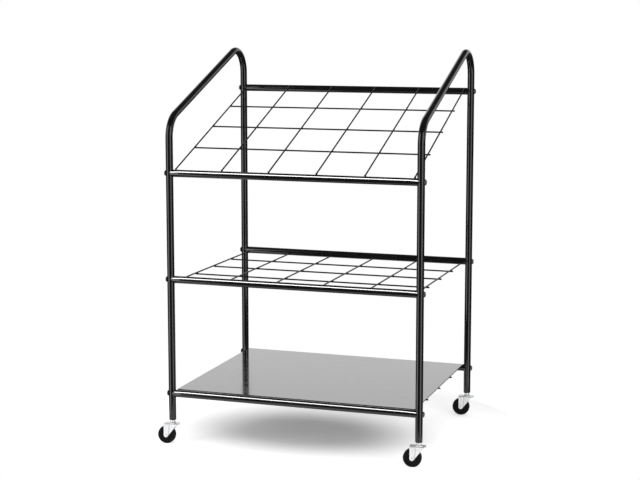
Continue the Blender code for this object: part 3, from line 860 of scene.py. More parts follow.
@dataclass
class SideFrames(Assembly):
    """The two bent tubes, each a front leg, a slope and a back leg.

    Attributes:
        tube_radius: Outer radius of the tube.
        wall: Wall of the tube.
        lip: Radius on the edges of its cut ends.
        bend_radius: Radius of the tube's centreline in the bends.
        handle_rise: Height of the centreline's corners over the top rails.
        sides: Steps round the tube.
        bend_step: Length between rings in a bend.
        run_step: Length between rings in a straight run.
    """

    finish: ClassVar[Finish] = GLOSS_PAINT
    tube_radius: float = 0.0095
    wall: float = 0.0012
    lip: float = 0.0003
    bend_radius: float = 0.0635
    handle_rise: float = 0.1348
    sides: int = 72
    bend_step: float = 0.0028
    run_step: float = 0.03

    def centreline(self, layout: Layout) -> tuple[Array, Array, Array]:
        """Work out the rings' places on the centreline, as (y, z), with each one's heading.

        The heading is upright on the front leg, the slope's between the bends and straight
        down on the back leg. In a bend the place is its centre plus the radius times the
        direction square to the heading.

        Args:
            layout: The cart's places.

        Returns:
            Distances along the line, places and headings.
        """
        front, back = layout.leg_y[End.FRONT], layout.leg_y[End.BACK]
        turns = (QUARTER_TURN - layout.slope, QUARTER_TURN + layout.slope)
        reaches = [self.bend_radius * math.tan(turn / 2) for turn in turns]
        corners = [layout.rail_z[Shelf.TOP, end] + self.handle_rise for end in (End.FRONT, End.BACK)]
        runs = [corners[0] - reaches[0] - layout.leg_bottom,
                (back - front) / math.cos(layout.slope) - sum(reaches),
                corners[1] - reaches[1] - layout.leg_bottom]
        place, heading, distance = np.array([front, layout.leg_bottom]), QUARTER_TURN, 0.0
        distances, places, headings = [], [], []
        for number, run in enumerate(runs):
            along = np.linspace(0, run, math.ceil(run / self.run_step) + 1)
            ahead = np.array([math.cos(heading), math.sin(heading)])
            distances.append(distance + along)
            places.append(place + along[:, None] * ahead)
            headings.append(np.full(len(along), heading))
            place, distance = place + run * ahead, distance + run
            if number == len(turns):
                break
            length = self.bend_radius * turns[number]
            share = np.linspace(0, 1, math.ceil(length / self.bend_step) + 1)[1:-1]
            centre = place + self.bend_radius * np.array([math.sin(heading), -math.cos(heading)])
            bent = heading - turns[number] * share
            distances.append(distance + length * share)
            places.append(centre + self.bend_radius * np.stack([-np.sin(bent), np.cos(bent)], -1))
            headings.append(bent)
            heading -= turns[number]
            place = centre + self.bend_radius * np.array([-math.sin(heading), math.cos(heading)])
            distance += length
        return np.concatenate(distances), np.vstack(places), np.concatenate(headings)

    def surface(self, layout: Layout, side: Side) -> Surface:
        """Carry the tube's wall along the centreline.

        The wall's outline goes up the outside, over a rounded lip, down the inside and over
        the other lip. A ring stands at each of its points: r cos t along X and r sin t along
        the direction square to the heading.

        Args:
            layout: The cart's places.
            side: Which side frame.

        Returns:
            The closed wall of the tube.
        """
        stations, places, headings = self.centreline(layout)
        length, inner = stations[-1], self.tube_radius - self.wall
        first, second = np.split(filleted([
            (0, self.tube_radius, self.lip), (length, self.tube_radius, self.lip),
            (length, inner, self.lip), (0, inner, self.lip)], closed=True, supports=False), 2)
        inside = stations[1:-1]
        start_outer, end_outer = np.split(first, 2)
        end_inner, start_inner = np.split(second, 2)
        outer_run = np.stack([inside, np.full(len(inside), self.tube_radius)], -1)
        inner_run = np.stack([inside[::-1], np.full(len(inside), inner)], -1)
        wall = np.vstack([start_outer, outer_run, end_outer, end_inner, inner_run, start_inner])
        place = np.stack([np.interp(wall[:, 0], stations, places[:, axis]) for axis in (0, 1)], -1)
        heading = np.interp(wall[:, 0], stations, headings)
        turn = round_angles(self.sides)
        radius = wall[:, 1:]
        square = radius * np.sin(turn)
        grid = np.stack([
            layout.leg_x[side] + radius * np.cos(turn),
            place[:, :1] - square * np.sin(heading)[:, None],
            place[:, 1:] + square * np.cos(heading)[:, None]], -1)
        return grid_surface(grid, outline_wear(wall, closed=True), wrap_rows=True)

    def build(self, layout: Layout) -> dict[str, Surface]:
        """Shape both side frames, by node."""
        return {f"{side.word}_side_frame": self.surface(layout, side) for side in Side}


@dataclass
class Rails(Assembly):
    """The six straight rails, closed bars whose ends fit round the legs.

    Attributes:
        lip: Radius on the edge of a rail's end.
        lip_steps: Steps over that edge.
        sides: Steps round a rail.
        cap_rings: Rings across a rail's end.
        body_rings: Rings along a rail.
    """

    finish: ClassVar[Finish] = GLOSS_PAINT
    lip: float = 0.0004
    lip_steps: int = 4
    sides: int = 72
    cap_rings: int = 8
    body_rings: int = 25

    def surface(self, layout: Layout) -> Surface:
        """Shape a rail along X about its middle.

        At the distance y from the leg's plane, an end stands off the leg's axis by
        sqrt((R + gap)^2 - y^2). Rings along the barrel share that reach out evenly, and
        the rings across an end follow it inwards.

        Args:
            layout: The cart's places.

        Returns:
            The closed rail.
        """
        half = (layout.leg_x[Side.RIGHT] - layout.leg_x[Side.LEFT]) / 2
        radius, lip = layout.tube_radius, self.lip
        corner = np.linspace(0, QUARTER_TURN, self.lip_steps + 1)[1:]
        cap_radius = np.concatenate([
            np.linspace(0, radius - lip, self.cap_rings), radius - lip + lip * np.sin(corner)])
        cap_inset = np.concatenate([np.zeros(self.cap_rings), lip - lip * np.cos(corner)])
        cap_wear = np.concatenate([np.zeros(self.cap_rings), np.sin(2 * corner)])
        share = np.linspace(-1, 1, self.body_rings + 2)[1:-1]
        ring_radius = np.concatenate([cap_radius, np.full(len(share), radius), cap_radius[::-1]])
        ring_inset = np.concatenate([cap_inset, np.full(len(share), lip), cap_inset[::-1]])
        ring_share = np.concatenate([-np.ones(len(cap_radius)), share, np.ones(len(cap_radius))])
        turn = round_angles(self.sides)
        y = ring_radius[:, None] * np.cos(turn)
        z = ring_radius[:, None] * np.sin(turn)
        reach = half - np.sqrt((radius + GAP) ** 2 - y ** 2) - ring_inset[:, None]
        grid = np.stack([reach * ring_share[:, None], y, z], -1)
        return grid_surface(grid, np.concatenate([cap_wear, 0 * share, cap_wear[::-1]]))

    def build(self, layout: Layout) -> dict[str, Surface]:
        """Shape the rails, by node.

        Args:
            layout: The cart's places.

        Returns:
            The rails.
        """
        rail = self.surface(layout)
        return {f"{shelf.word}_{end.word}_rail": rail.placed(layout.rail_middle(shelf, end))
                for shelf in Shelf for end in End}


@dataclass
class Screws(Assembly):
    """The twelve domed screws with hexagon key holes.

    Attributes:
        head_radius: Radius of the head.
        head_height: Height of the head.
        rim: Height of the head's upright rim.
        rim_edge: Radius on the rim's lower edge.
        rim_steps: Steps over that edge.
        rim_wear: Wear of that edge.
        dome_rings: Rings over the whole dome, of which the key hole takes the inner ones.
        dome_stop_share: Where the dome's rings stop, as a share of the key hole's width.
        key_across: Width of the key hole between its flats.
        key_depth: Depth of the key hole.
        key_chamfer: Chamfer at the key hole's mouth.
        key_floor_share: Where the key hole's floor starts to dip, as a share of its width.
        shank_radius: Radius over the thread.
        thread_depth: Depth of the thread.
        pitch: Pitch of the thread.
        bite: Length of the shank beyond the leg.
        sides: Steps round the screw, a multiple of six.
        rows_a_turn: Rows for each turn of the thread.
    """

    finish: ClassVar[Finish] = SCREW_BLACK
    head_radius: float = 0.00725
    head_height: float = 0.0044
    rim: float = 0.0012
    rim_edge: float = 0.0003
    rim_steps: int = 3
    rim_wear: float = 0.6
    dome_rings: int = 9
    dome_stop_share: float = 0.75
    key_across: float = 0.004
    key_depth: float = 0.0022
    key_chamfer: float = 0.00025
    key_floor_share: float = 0.9
    shank_radius: float = 0.003
    thread_depth: float = 0.0005
    pitch: float = 0.001
    bite: float = 0.014
    sides: int = 48
    rows_a_turn: int = 6

    def shank(self, turn: Array, length: float) -> tuple[Array, Array]:
        """Cut the thread, from the tip up.

        The radius swings by half the thread's depth like the cosine of a full turn for each
        pitch of height, less the angle. The first turn tapers by the thread's depth.

        Args:
            turn: Angles round the screw.
            length: Length of the shank.

        Returns:
            Radius at each row and angle, and each row's height.
        """
        height = np.linspace(-length, 0, math.ceil(length / self.pitch * self.rows_a_turn))[:, None]
        taper = np.clip((height + length) / self.pitch, 0, 1)
        phase = 2 * math.pi * height / self.pitch - turn
        swing = self.thread_depth / 2 * (1 + np.cos(phase))
        return self.shank_radius - swing - self.thread_depth * (1 - taper), height[:, 0]

    def surface(self, tube_radius: float) -> Surface:
        """Shape one screw along +Z, with its seat at the origin.

        The head is a dome from its rim, pulled in near the middle to a hexagon whose radius
        at angle t is half the width across flats over cos(t folded into 30 degrees).

        Args:
            tube_radius: Radius of the leg that the screw crosses.

        Returns:
            The closed screw.
        """
        turn = round_angles(self.sides)
        third = math.pi / 3
        hexagon = self.key_across / 2 / np.cos((turn + third / 2) % third - third / 2)
        shank, shank_height = self.shank(turn, 2 * tube_radius + self.bite)
        crown, chamfer = self.head_height - self.rim, self.key_chamfer
        rim = filleted([(self.shank_radius, 0, 0), (self.head_radius, 0, self.rim_edge),
                        (self.head_radius, self.rim, 0)], steps=self.rim_steps, supports=False)
        rim_wear = (0.0, *[self.rim_wear] * self.rim_steps, 0.0)
        arch = np.linspace(0, 1, self.dome_rings)
        dome_radius = self.head_radius * np.cos(arch * QUARTER_TURN)
        dome_height = self.rim + crown * np.sin(arch * QUARTER_TURN)
        keep = dome_radius > self.key_across * self.dome_stop_share
        mouth = self.rim + crown * math.sqrt(1 - (self.key_across / 2 / self.head_radius) ** 2)
        floor = self.head_height - self.key_depth
        rings = [(ring, height, wear) for (ring, height), wear in zip(rim[:-1], rim_wear)]
        rings += [(ring, height, 0.0) for ring, height in zip(dome_radius[keep], dome_height[keep])]
        rings += [(hexagon * share, height, wear) for share, height, wear in (
            (1 + 2 * chamfer / self.key_across, mouth, 1.0),
            (1, mouth - chamfer, 1.0), (1, floor, 0.0),
            (self.key_floor_share, floor - chamfer / 2, 0.0), (0, floor - 2 * chamfer, 0.0))]
        radius = np.vstack([0 * turn, shank, *(ring + 0 * turn for ring, _, _ in rings)])
        height = np.concatenate([shank_height[:1], shank_height, [level for _, level, _ in rings]])
        wear = np.concatenate([np.zeros(len(shank) + 1), [worn for _, _, worn in rings]])
        grid = np.stack([radius * np.cos(turn), radius * np.sin(turn), height[:, None] + 0 * radius], -1)
        return grid_surface(grid, wear)

    def build(self, layout: Layout) -> dict[str, Surface]:
        """Shape the screws, each pointing into its leg, by node.

        Args:
            layout: The cart's places.

        Returns:
            The screws.
        """
        screw = self.surface(layout.tube_radius)
        made = {}
        for side in Side:
            out = side.value * ALONG_X
            seat = out * (layout.tube_radius + GAP)
            for end in End:
                for shelf in Shelf:
                    node = f"{shelf.word}_{end.word}_{side.word}_screw"
                    axis = layout.leg_point(side, end, layout.rail_z[shelf, end])
                    made[node] = screw.placed(axis + seat, aimed(out))
        return made


@dataclass
class WireGrids(Assembly):
    """The wires of the two open grids and the welded grid under the board.

    Attributes:
        radius: Radius of a wire.
        tip: Radius on a wire's cut ends.
        tip_steps: Steps over that radius.
        sides: Steps round a wire.
        long_count: Wires along the cart's depth in a grid.
        cross_count: Wires across it.
        end_bead: Half sizes of the bead at a wire's end, as shares of the wire's radius.
        end_bead_share: How far that bead's middle lies inside the end, as such a share.
        open_bead: Half sizes of the bead at a crossing of an open grid.
        sunk_bead: Half sizes of the bead at a crossing of the welded grid.
    """

    finish: ClassVar[Finish] = WIRE_PAINT
    radius: float = 0.002
    tip: float = 0.0007
    tip_steps: int = 3
    sides: int = 20
    long_count: int = 6
    cross_count: int = 3
    end_bead: Place = (1.45, 1.2, 1.1)
    end_bead_share: float = 0.25
    open_bead: Place = (1.15, 1.15, 0.75)
    sunk_bead: Place = (1.2, 1.2, 0.7)

    def wire(self, length: float) -> Surface:
        """Turn a straight wire along Z about the origin, with rounded tips.

        Args:
            length: Length of the wire.

        Returns:
            The wire.
        """
        half = length / 2
        profile = filleted([(0, -half, 0), (self.radius, -half, self.tip), (self.radius, half, self.tip),
                            (0, half, 0)], steps=self.tip_steps)
        return turned(profile, self.sides)

    def weld(self, shares: Place) -> Surface:
        """Make a weld bead whose half sizes are shares of the wire's radius."""
        return bead(tuple(share * self.radius for share in shares))

    def long_wire(self, middle: Array, along: Array, length: float) -> Surface:
        """Shape a long wire with a bead at each end, where it meets its rails.

        Args:
            middle: Middle of the wire.
            along: Its direction.
            length: Its length.

        Returns:
            The wire and its beads.
        """
        shape, axes = self.weld(self.end_bead), aimed(along)
        reach = along * (length / 2 - self.radius * self.end_bead_share)
        return joined([self.wire(length).placed(middle, axes),
                       *(shape.placed(middle + sign * reach, axes) for sign in (-1, 1))])

    def open_grid(self, layout: Layout, shelf: Shelf) -> dict[str, Surface]:
        """Shape the wires of one open grid, with a bead at each crossing, by node.

        Args:
            layout: The cart's places.
            shelf: The middle or the top shelf.

        Returns:
            The wires.
        """
        slope = layout.slope if shelf is Shelf.TOP else 0.0
        along = np.array([0.0, math.cos(slope), math.sin(slope)])
        up = np.array([0.0, -math.sin(slope), math.cos(slope)])
        long_nodes = [f"{shelf.word}_long_wire_{number + 1}" for number in range(self.long_count)]
        depth = size_of(long_nodes[0])[1]
        length = (depth - 2 * self.radius * math.sin(slope)) / math.cos(slope)
        made = {node: self.long_wire(middle_of(node), along, length) for node in long_nodes}
        nugget, flat = self.weld(self.open_bead), np.stack([ALONG_X, along, up])
        for number in range(self.cross_count):
            node = f"{shelf.word}_cross_wire_{number + 1}"
            middle = middle_of(node)
            parts = [self.wire(size_of(node)[0]).placed(middle, aimed(ALONG_X))]
            for long_node in long_nodes:
                spot = middle + up * (self.radius + GAP / 2)
                spot[0] = middle_of(long_node)[0]
                parts.append(nugget.placed(spot, flat))
            made[node] = joined(parts)
        return made

    def welded_grid(self) -> Surface:
        """Shape the bottom grid, one piece with its wires sunk into each other.

        Returns:
            All its wires and beads.
        """
        pitch = middle_of("middle_long_wire_2")[0] - middle_of("middle_long_wire_1")[0]
        low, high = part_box("bottom_grid")
        middle = middle_of("bottom_grid")
        width, depth = high.x - low.x, high.y - low.y
        upper, lower = high.z - self.radius, low.z + self.radius
        cross_wire, nugget = self.wire(width), self.weld(self.sunk_bead)
        long_x = middle[0] + pitch * (np.arange(self.long_count) - (self.long_count - 1) / 2)
        cross_y = middle[1] + pitch * (np.arange(self.cross_count) - (self.cross_count - 1) / 2)
        parts = [self.long_wire(np.array([x, middle[1], upper]), ALONG_Y, depth) for x in long_x]
        for y in cross_y:
            parts.append(cross_wire.placed(np.array([middle[0], y, lower]), aimed(ALONG_X)))
            parts += [nugget.placed(np.array([x, y, (upper + lower) / 2])) for x in long_x]
        return joined(parts)

    def build(self, layout: Layout) -> dict[str, Surface]:
        """Shape all three grids, by node."""
        return {**self.open_grid(layout, Shelf.TOP), **self.open_grid(layout, Shelf.MIDDLE),
                "bottom_grid": self.welded_grid()}


@dataclass
class Board(Assembly):
    """The flat lacquered board on the bottom grid.

    Attributes:
        edge: Radius on its upper and lower edges.
        edge_steps: Steps over that radius.
        corner: Radius of its corners seen from above.
        corner_steps: Points round a corner.
        flat_shares: Rings on the flat faces, as shares of the way from the middle to the edge.
    """

    finish: ClassVar[Finish] = BOARD_LACQUER
    edge: float = 0.0007
    edge_steps: int = 5
    corner: float = 0.0015
    corner_steps: int = 6
    flat_shares: tuple[float, ...] = (0.0, 0.5, 0.9, 0.97)

    def surface(self) -> Surface:
        """Carry the edge's profile round the board's outline.

        The outline is a rectangle with round corners. Each ring keeps the corners' centres
        and takes its distance from them from the profile, and the flat faces shrink evenly
        to their middle. The upright edge counts as a hollow, which keeps it dull.

        Returns:
            The closed board.
        """
        half = size_of("bottom_board") / 2
        turn = np.linspace(0, QUARTER_TURN, self.corner_steps)
        turns = np.concatenate([turn + quarter * QUARTER_TURN for quarter in range(4)])
        signs = np.repeat([[1, 1], [-1, 1], [-1, -1], [1, -1]], self.corner_steps, axis=0)
        centres = signs * (half[:2] - self.corner)
        radial = np.stack([np.cos(turns), np.sin(turns)], -1)
        rim = filleted([(-self.corner, half[2], 0), (0, half[2], self.edge), (0, -half[2], self.edge),
                        (-self.corner, -half[2], 0)], steps=self.edge_steps, supports=False)
        rim_rings = centres + radial * (self.corner + rim[:, :1, None])
        shares = np.array(self.flat_shares)[:, None, None]
        flat = np.concatenate([shares * rim_rings[:1], rim_rings, shares[::-1] * rim_rings[-1:]])
        face = np.full(len(shares), half[2])
        levels = np.concatenate([face, rim[:, 1], -face])
        grid = np.dstack([flat, np.broadcast_to(levels[:, None], flat.shape[:2])])
        wear = np.where(np.abs(levels) < half[2] - self.edge / 2, -1.0, 0.0)
        return grid_surface(grid, wear).placed(middle_of("bottom_board"))

    def build(self, layout: Layout) -> dict[str, Surface]:
        """Shape the board, by node."""
        return {"bottom_board": self.surface()}


@dataclass(frozen=True)
class Fork:
    """A caster's fork, pressed from one sheet: top plate, two cheeks, ball race and lip.

    Sizes follow the caster's own frame: Z is the stem's axis and the axle lies at -X.

    Attributes:
        sheet: Thickness of the sheet.
        width: Width over both cheeks.
        top: Height of the top plate's upper face.
        bend: Outer radius of the bends.
        front_reach: Reach of the top plate in front of the stem's axis.
        back_reach: Reach of the top plate behind it.
        front_share: Half width of the plate's front edge, as a share of its flat part.
        back_share: The same for its back edge.
        cheek_front: Reach of the cheeks in front.
        cheek_back: Reach of the cheeks behind, at the plate.
        foot_radius: Radius of the cheeks round the axle.
        corner: Radius of the blank's front corners.
        shoulder_corner: Radius of its corners where a cheek meets the plate's back.
        back_corner: Radius of its back corners.
        outline_steps: Steps round each of those corners.
        columns: Points round the blank.
        rings: Rings from the stem's hole to the blank's edge.
        pin_hole: Radius of the stem's hole.
        edge: Radius on the sheet's cut edges.
        edge_steps: Steps over that radius.
        edge_wear: Wear beside the cut edges.
        edge_parts: Parts of the way from the hole to the edge, of which the last one wears.
        crease: Depth of the fold pressed into the cheeks.
        crease_width: Width of the fold.
        crease_x: Where the fold starts, at the axle's height and at the plate.
        crease_fade: Drop under the bend over which the fold comes in.
        crease_grime: Painted shade in the fold, given as negative wear.
        race_radius: Radius of the ball race on the plate.
        race_height: Height of the race.
        race_rounds: Radii of the race's corners.
        race_sides: Steps round the race.
        lip_width: Width of the lip turned down at the plate's back.
        lip_drop: Drop of the lip under the plate.
        lip_overlap: How far the lip's strip starts inside the plate.
        lip_step: How far the lip stands out of the plate's edge.
        lip_sink: How far its strip lies under the plate's face.
        lip_steps: Steps round its bend.
        lip_tip: Rings of its rounded tip, as shares of the edge's radius.
    """

    sheet: float = 0.002
    width: float = 0.0236
    top: float = 0.0548
    bend: float = 0.0024
    front_reach: float = 0.0226
    back_reach: float = 0.0179
    front_share: float = 0.75
    back_share: float = 0.8
    cheek_front: float = 0.0218
    cheek_back: float = 0.0143
    foot_radius: float = 0.0058
    corner: float = 0.00175
    shoulder_corner: float = 0.0014
    back_corner: float = 0.0028
    outline_steps: int = 12
    columns: int = 240
    rings: int = 64
    pin_hole: float = 0.0043
    edge: float = 0.00035
    edge_steps: int = 3
    edge_wear: float = 0.7
    edge_parts: int = 32
    crease: float = 0.0006
    crease_width: float = 0.0034
    crease_x: Span = (-0.0110, -0.0075)
    crease_fade: float = 0.002
    crease_grime: float = 0.6
    race_radius: float = 0.0093
    race_height: float = 0.0034
    race_rounds: tuple[float, ...] = (0.0001, 0.0001, 0.0009, 0.0006, 0.0003)
    race_sides: int = 64
    lip_width: float = 0.0075
    lip_drop: float = 0.0025
    lip_overlap: float = 0.0015
    lip_step: float = 0.0002
    lip_sink: float = 0.00015
    lip_steps: int = 8
    lip_tip: tuple[float, ...] = (0.0, 0.12, 0.45, 1.0)

    def outline(self, trail: float, axle_height: float) -> Array:
        """Draw the fork's blank: its outline as if the bends were rolled out flat.

        The first coordinate runs along X and the second across the sheet from its middle
        line. The foot's arc is tangent to the upright front edge and to the straight back
        edge, which leaves the plate at the cheek's back reach.

        Args:
            trail: Distance from the stem's axis to the axle.
            axle_height: Height of the axle.

        Returns:
            The outline, evenly spaced.
        """
        flat = self.width / 2 - self.bend
        rolled = flat + self.bend * QUARTER_TURN
        upper = self.top - self.bend
        foot = rolled + upper - axle_height
        bottom = foot + self.foot_radius
        shoulder = rolled + upper - (self.top - self.sheet)
        across, up = self.cheek_back + trail, foot - shoulder
        tangent = math.atan2(up, across) - math.acos(self.foot_radius / math.hypot(across, up))
        touch_x = -trail + self.foot_radius * math.cos(tangent)
        touch_s = foot - self.foot_radius * math.sin(tangent)
        lower_x = touch_x - (bottom - touch_s) * (self.cheek_back - touch_x) / (touch_s - shoulder)
        half = [
            (-self.front_reach, flat * self.front_share, self.corner),
            (-self.cheek_front, rolled, self.corner),
            (-self.cheek_front, bottom, self.foot_radius),
            (lower_x, bottom, self.foot_radius),
            (self.cheek_back, shoulder, self.shoulder_corner),
            (self.back_reach, flat * self.back_share, self.back_corner)]
        outline = filleted(half + mirrored(half), closed=True, steps=self.outline_steps, supports=False)
        loop = np.vstack([outline, outline[:1]])
        length = np.concatenate([[0], np.cumsum(np.linalg.norm(np.diff(loop, axis=0), axis=1))])
        even = np.arange(self.columns) * length[-1] / self.columns
        return np.stack([np.interp(even, length, loop[:, axis]) for axis in (0, 1)], -1)

    def folded(self, blank: Array, depth: Array, axle_height: float) -> tuple[Array, Array]:
        """Fold the rolled-out blank into the channel.

        With s the distance from the middle line and d the depth under the outer face, the
        plate is (x, s, top - d), a bend turns by (s - flat) / radius, and a cheek hangs at
        half the width less d. Behind a line down the cheek, the sheet steps in by the crease:
        its depth times 3t^2 - 2t^3, where t goes from 0 to 1 over the crease's width.

        Args:
            blank: Points of the blank, as x and s.
            depth: Depth of each point under the outer face.
            axle_height: Height of the axle.

        Returns:
            Points in the caster's frame, and how deep in the fold each point lies.
        """
        x, s = blank[..., 0], blank[..., 1]
        flat, rolled = self.width / 2 - self.bend, self.bend * QUARTER_TURN
        past = np.clip(np.abs(s) - flat, 0, None)
        turn = np.clip(past, 0, rolled) / self.bend
        radius = self.bend - depth
        drop = np.clip(past - rolled, 0, None)
        y = np.minimum(np.abs(s), flat) + radius * np.sin(turn)
        z = self.top - self.bend + radius * np.cos(turn) - drop
        z = np.where(past > 0, z, self.top - depth)
        line = np.interp(z, [axle_height, self.top], self.crease_x)
        behind = np.clip((x - line) / self.crease_width, 0, 1)
        lower = np.clip(drop / self.crease_fade, 0, 1)
        y = y - self.crease * behind ** 2 * (3 - 2 * behind) * lower
        return np.stack([x, np.sign(s) * y, z], -1), 4 * behind * (1 - behind) * lower

    def plate(self, trail: float, axle_height: float) -> Surface:
        """Press the sheet.

        It is a grid of rings that grow from the stem's hole to the blank's outline, turn over
        its cut edge, and shrink back to the hole on the other face.

        Args:
            trail: Distance from the stem's axis to the axle.
            axle_height: Height of the axle.

        Returns:
            The sheet in the caster's frame.
        """
        outline = self.outline(trail, axle_height)
        reach = np.linalg.norm(outline, axis=1)
        away = outline / reach[:, None]
        share = np.linspace(0, 1, self.rings)[:, None]
        ring = self.pin_hole + self.edge + share * (reach - 2 * self.edge - self.pin_hole)
        corner = np.linspace(0, QUARTER_TURN, self.edge_steps + 1)[1:, None]
        swell = self.edge * np.sin(corner)
        sink = self.edge * (1 - np.cos(corner))
        outer_edge = reach - self.edge + swell
        inner_edge = self.pin_hole + self.edge - swell
        radii = [ring, outer_edge, outer_edge[::-1], ring[::-1], inner_edge, inner_edge[::-1]]
        depths = [0 * share, sink, self.sheet - sink[::-1], self.sheet + 0 * share,
                  self.sheet - sink, sink[::-1]]
        radius = np.vstack([rows + 0 * reach for rows in radii])
        depth = np.vstack(depths) + 0 * reach
        grid, fold = self.folded(radius[..., None] * away, depth, axle_height)
        fade = self.edge_wear * np.clip(share[:, 0] * self.edge_parts - (self.edge_parts - 1), 0, 1)
        rim = np.ones(2 * self.edge_steps)
        wear = np.concatenate([fade, rim, fade[::-1], 0 * rim])
        is_outer = np.arange(len(wear))[:, None] < self.rings
        # The fold's shade is painted in: negative wear on the outer face, which the hollows' mask darkens.
        return grid_surface(grid, wear[:, None] - self.crease_grime * fold * is_outer, wrap_rows=True)

    def race(self) -> Surface:
        """Turn the ball race that stands on the plate, from a profile sunk a little into it.

        Returns:
            The race in the caster's frame.
        """
        low, high = self.top - self.sheet / 4, self.top + self.race_height
        profile = rounded([
            (self.pin_hole, low), (self.race_radius, low),
            (self.race_radius, self.top + self.race_height / 2),
            (self.race_radius - self.race_height / 2, high), (self.pin_hole, high)], self.race_rounds)
        return turned(filleted(profile, closed=True, supports=False), self.race_sides, closed=True)

    def lip(self) -> Surface:
        """Bend the lip: a flat strip with round edges carried over a quarter turn.

        A ring of the strip lies at the bend's centre plus its radius times the direction of
        its heading, less its slide along the plate and its drop down the strip's straight end.

        Returns:
            The lip in the caster's frame.
        """
        bend, tip = self.sheet + self.edge, np.array(self.lip_tip)
        turn = np.linspace(0, QUARTER_TURN, self.lip_steps + 1)
        centre_x, centre_z = self.back_reach - bend + self.lip_step, self.top - bend - self.lip_sink
        straight = self.lip_drop + self.sheet - bend
        heading = np.concatenate([[0], turn, QUARTER_TURN + 0 * tip])[:, None]
        slide = np.concatenate([[self.lip_overlap], 0 * turn, 0 * tip])[:, None]
        drop = np.concatenate([[0], 0 * turn, straight - self.edge * tip[::-1]])[:, None]
        squeeze = np.concatenate([[0], 0 * turn, self.edge * tip])[:, None, None]
        half_width, edge = self.lip_width / 2, self.edge
        section = filleted([(half_width, 0, edge), (half_width, -self.sheet, edge),
                            (-half_width, -self.sheet, edge), (-half_width, 0, edge)],
                           closed=True, supports=False)
        middle = section.mean(axis=0)
        ring = middle + (section - middle) * (1 - squeeze / (self.sheet / 2))
        radius = bend + ring[..., 1]
        grid = np.stack([
            centre_x - slide + radius * np.sin(heading),
            ring[..., 0],
            centre_z + radius * np.cos(heading) - drop], -1)
        first, last = (np.broadcast_to(grid[row].mean(axis=0), grid[:1].shape) for row in (0, -1))
        return grid_surface(np.concatenate([first, grid, last]))

    def surface(self, trail: float, axle_height: float) -> Surface:
        """Join the sheet, the race and the lip.

        Args:
            trail: Distance from the stem's axis to the axle.
            axle_height: Height of the axle.

        Returns:
            The fork in the caster's frame.
        """
        return joined([self.plate(trail, axle_height), self.race(), self.lip()])


@dataclass(frozen=True)
class Wheel:
    """A caster's wheel: hub, dished web, stepped rim and a tread with a mould line.

    Attributes:
        width: Width of the rim.
        hub_half: Half length of the hub.
        hub_radius: Radius of the hub.
        dish: Depth of the web under the rim's side.
        draft: Slant of the hub and of the rim's inner side.
        rim_depth: Depth of the rim from the mould line.
        rim_step: Distance of the rim's groove from its inner side.
        groove_width: Width of the groove.
        groove_slant: Slant of the groove's sides.
        groove_depth: Depth of the groove.
        seam_height: Height of the mould line.
        seam_half: Half width of the mould line at its foot.
        seam_crest: Half width at its crest.
        rounds: Radii of the corners from the bore to the mould line.
        round_steps: Steps round a corner.
        sides: Steps round the wheel.
    """

    width: float = 0.0155
    hub_half: float = 0.0094
    hub_radius: float = 0.0085
    dish: float = 0.00225
    draft: float = 0.0004
    rim_depth: float = 0.006
    rim_step: float = 0.0016
    groove_width: float = 0.0008
    groove_slant: float = 0.0002
    groove_depth: float = 0.0003
    seam_height: float = 0.00008
    seam_half: float = 0.0004
    seam_crest: float = 0.0001
    rounds: tuple[float, ...] = (0.0003, 0.0006, 0.0006, 0.0007, 0.0004, 0.0001,
                                 0.00008, 0.00008, 0.0001, 0.0034, 0.0001, 0.00005)
    round_steps: int = 5
    sides: int = 128

    def surface(self, radius: float, bore: float) -> Surface:
        """Turn the wheel about Y from the profile of its half and that half's mirror image.

        Args:
            radius: Radius of the tread at its mould line.
            bore: Radius of its bore.

        Returns:
            The wheel about its axle's middle.
        """
        side, tread = self.width / 2, radius - self.seam_height
        web, floor = side - self.dish, side - self.groove_depth
        inner = radius - self.rim_depth
        near = inner + self.rim_step
        far = near + self.groove_width
        half = rounded([
            (bore, self.hub_half), (self.hub_radius, self.hub_half), (self.hub_radius + self.draft, web),
            (inner, web), (inner + self.draft, side), (near, side), (near + self.groove_slant, floor),
            (far - self.groove_slant, floor), (far, side), (tread, side), (tread, self.seam_half),
            (radius, self.seam_crest)], self.rounds)
        profile = filleted(half + mirrored(half), closed=True, steps=self.round_steps, supports=False)
        return turned(profile, self.sides, closed=True).placed(np.zeros(3), aimed(ALONG_Y))


@dataclass(frozen=True)
class Axle:
    """A wheel's axle, riveted at both ends.

    Attributes:
        radius: Radius of the axle.
        head_reach: How far a rivet head reaches past the axle.
        head_height: Height of a rivet head.
        head_rim: Height of its upright rim.
        head_steps: Steps over its dome.
        dimple_radius: Radius of the dimple in it.
        dimple_depth: Depth of the dimple.
        sides: Steps round the axle.
    """

    radius: float = 0.0025
    head_reach: float = 0.0009
    head_height: float = 0.0009
    head_rim: float = 0.0004
    head_steps: int = 6
    dimple_radius: float = 0.0006
    dimple_depth: float = 0.0002
    sides: int = 64

    def surface(self, fork_width: float) -> Surface:
        """Turn the axle about Y: two mirrored heads, each an elliptic dome on a short rim.

        Args:
            fork_width: Width of the fork that it holds.

        Returns:
            The axle about its middle.
        """
        seat, head = fork_width / 2 + GAP, self.radius + self.head_reach
        arch = np.linspace(0, QUARTER_TURN, self.head_steps + 1)[:-1]
        crown = seat + self.head_height
        rise = self.head_rim + (self.head_height - self.head_rim) * np.sin(arch)
        half = np.vstack([
            (self.radius, seat), (head, seat), np.stack([head * np.cos(arch), seat + rise], -1),
            (self.dimple_radius, crown), (0, crown - self.dimple_depth)])
        profile = np.vstack([half[::-1] * (1, -1), half])
        return turned(profile, self.sides).placed(np.zeros(3), aimed(ALONG_Y))


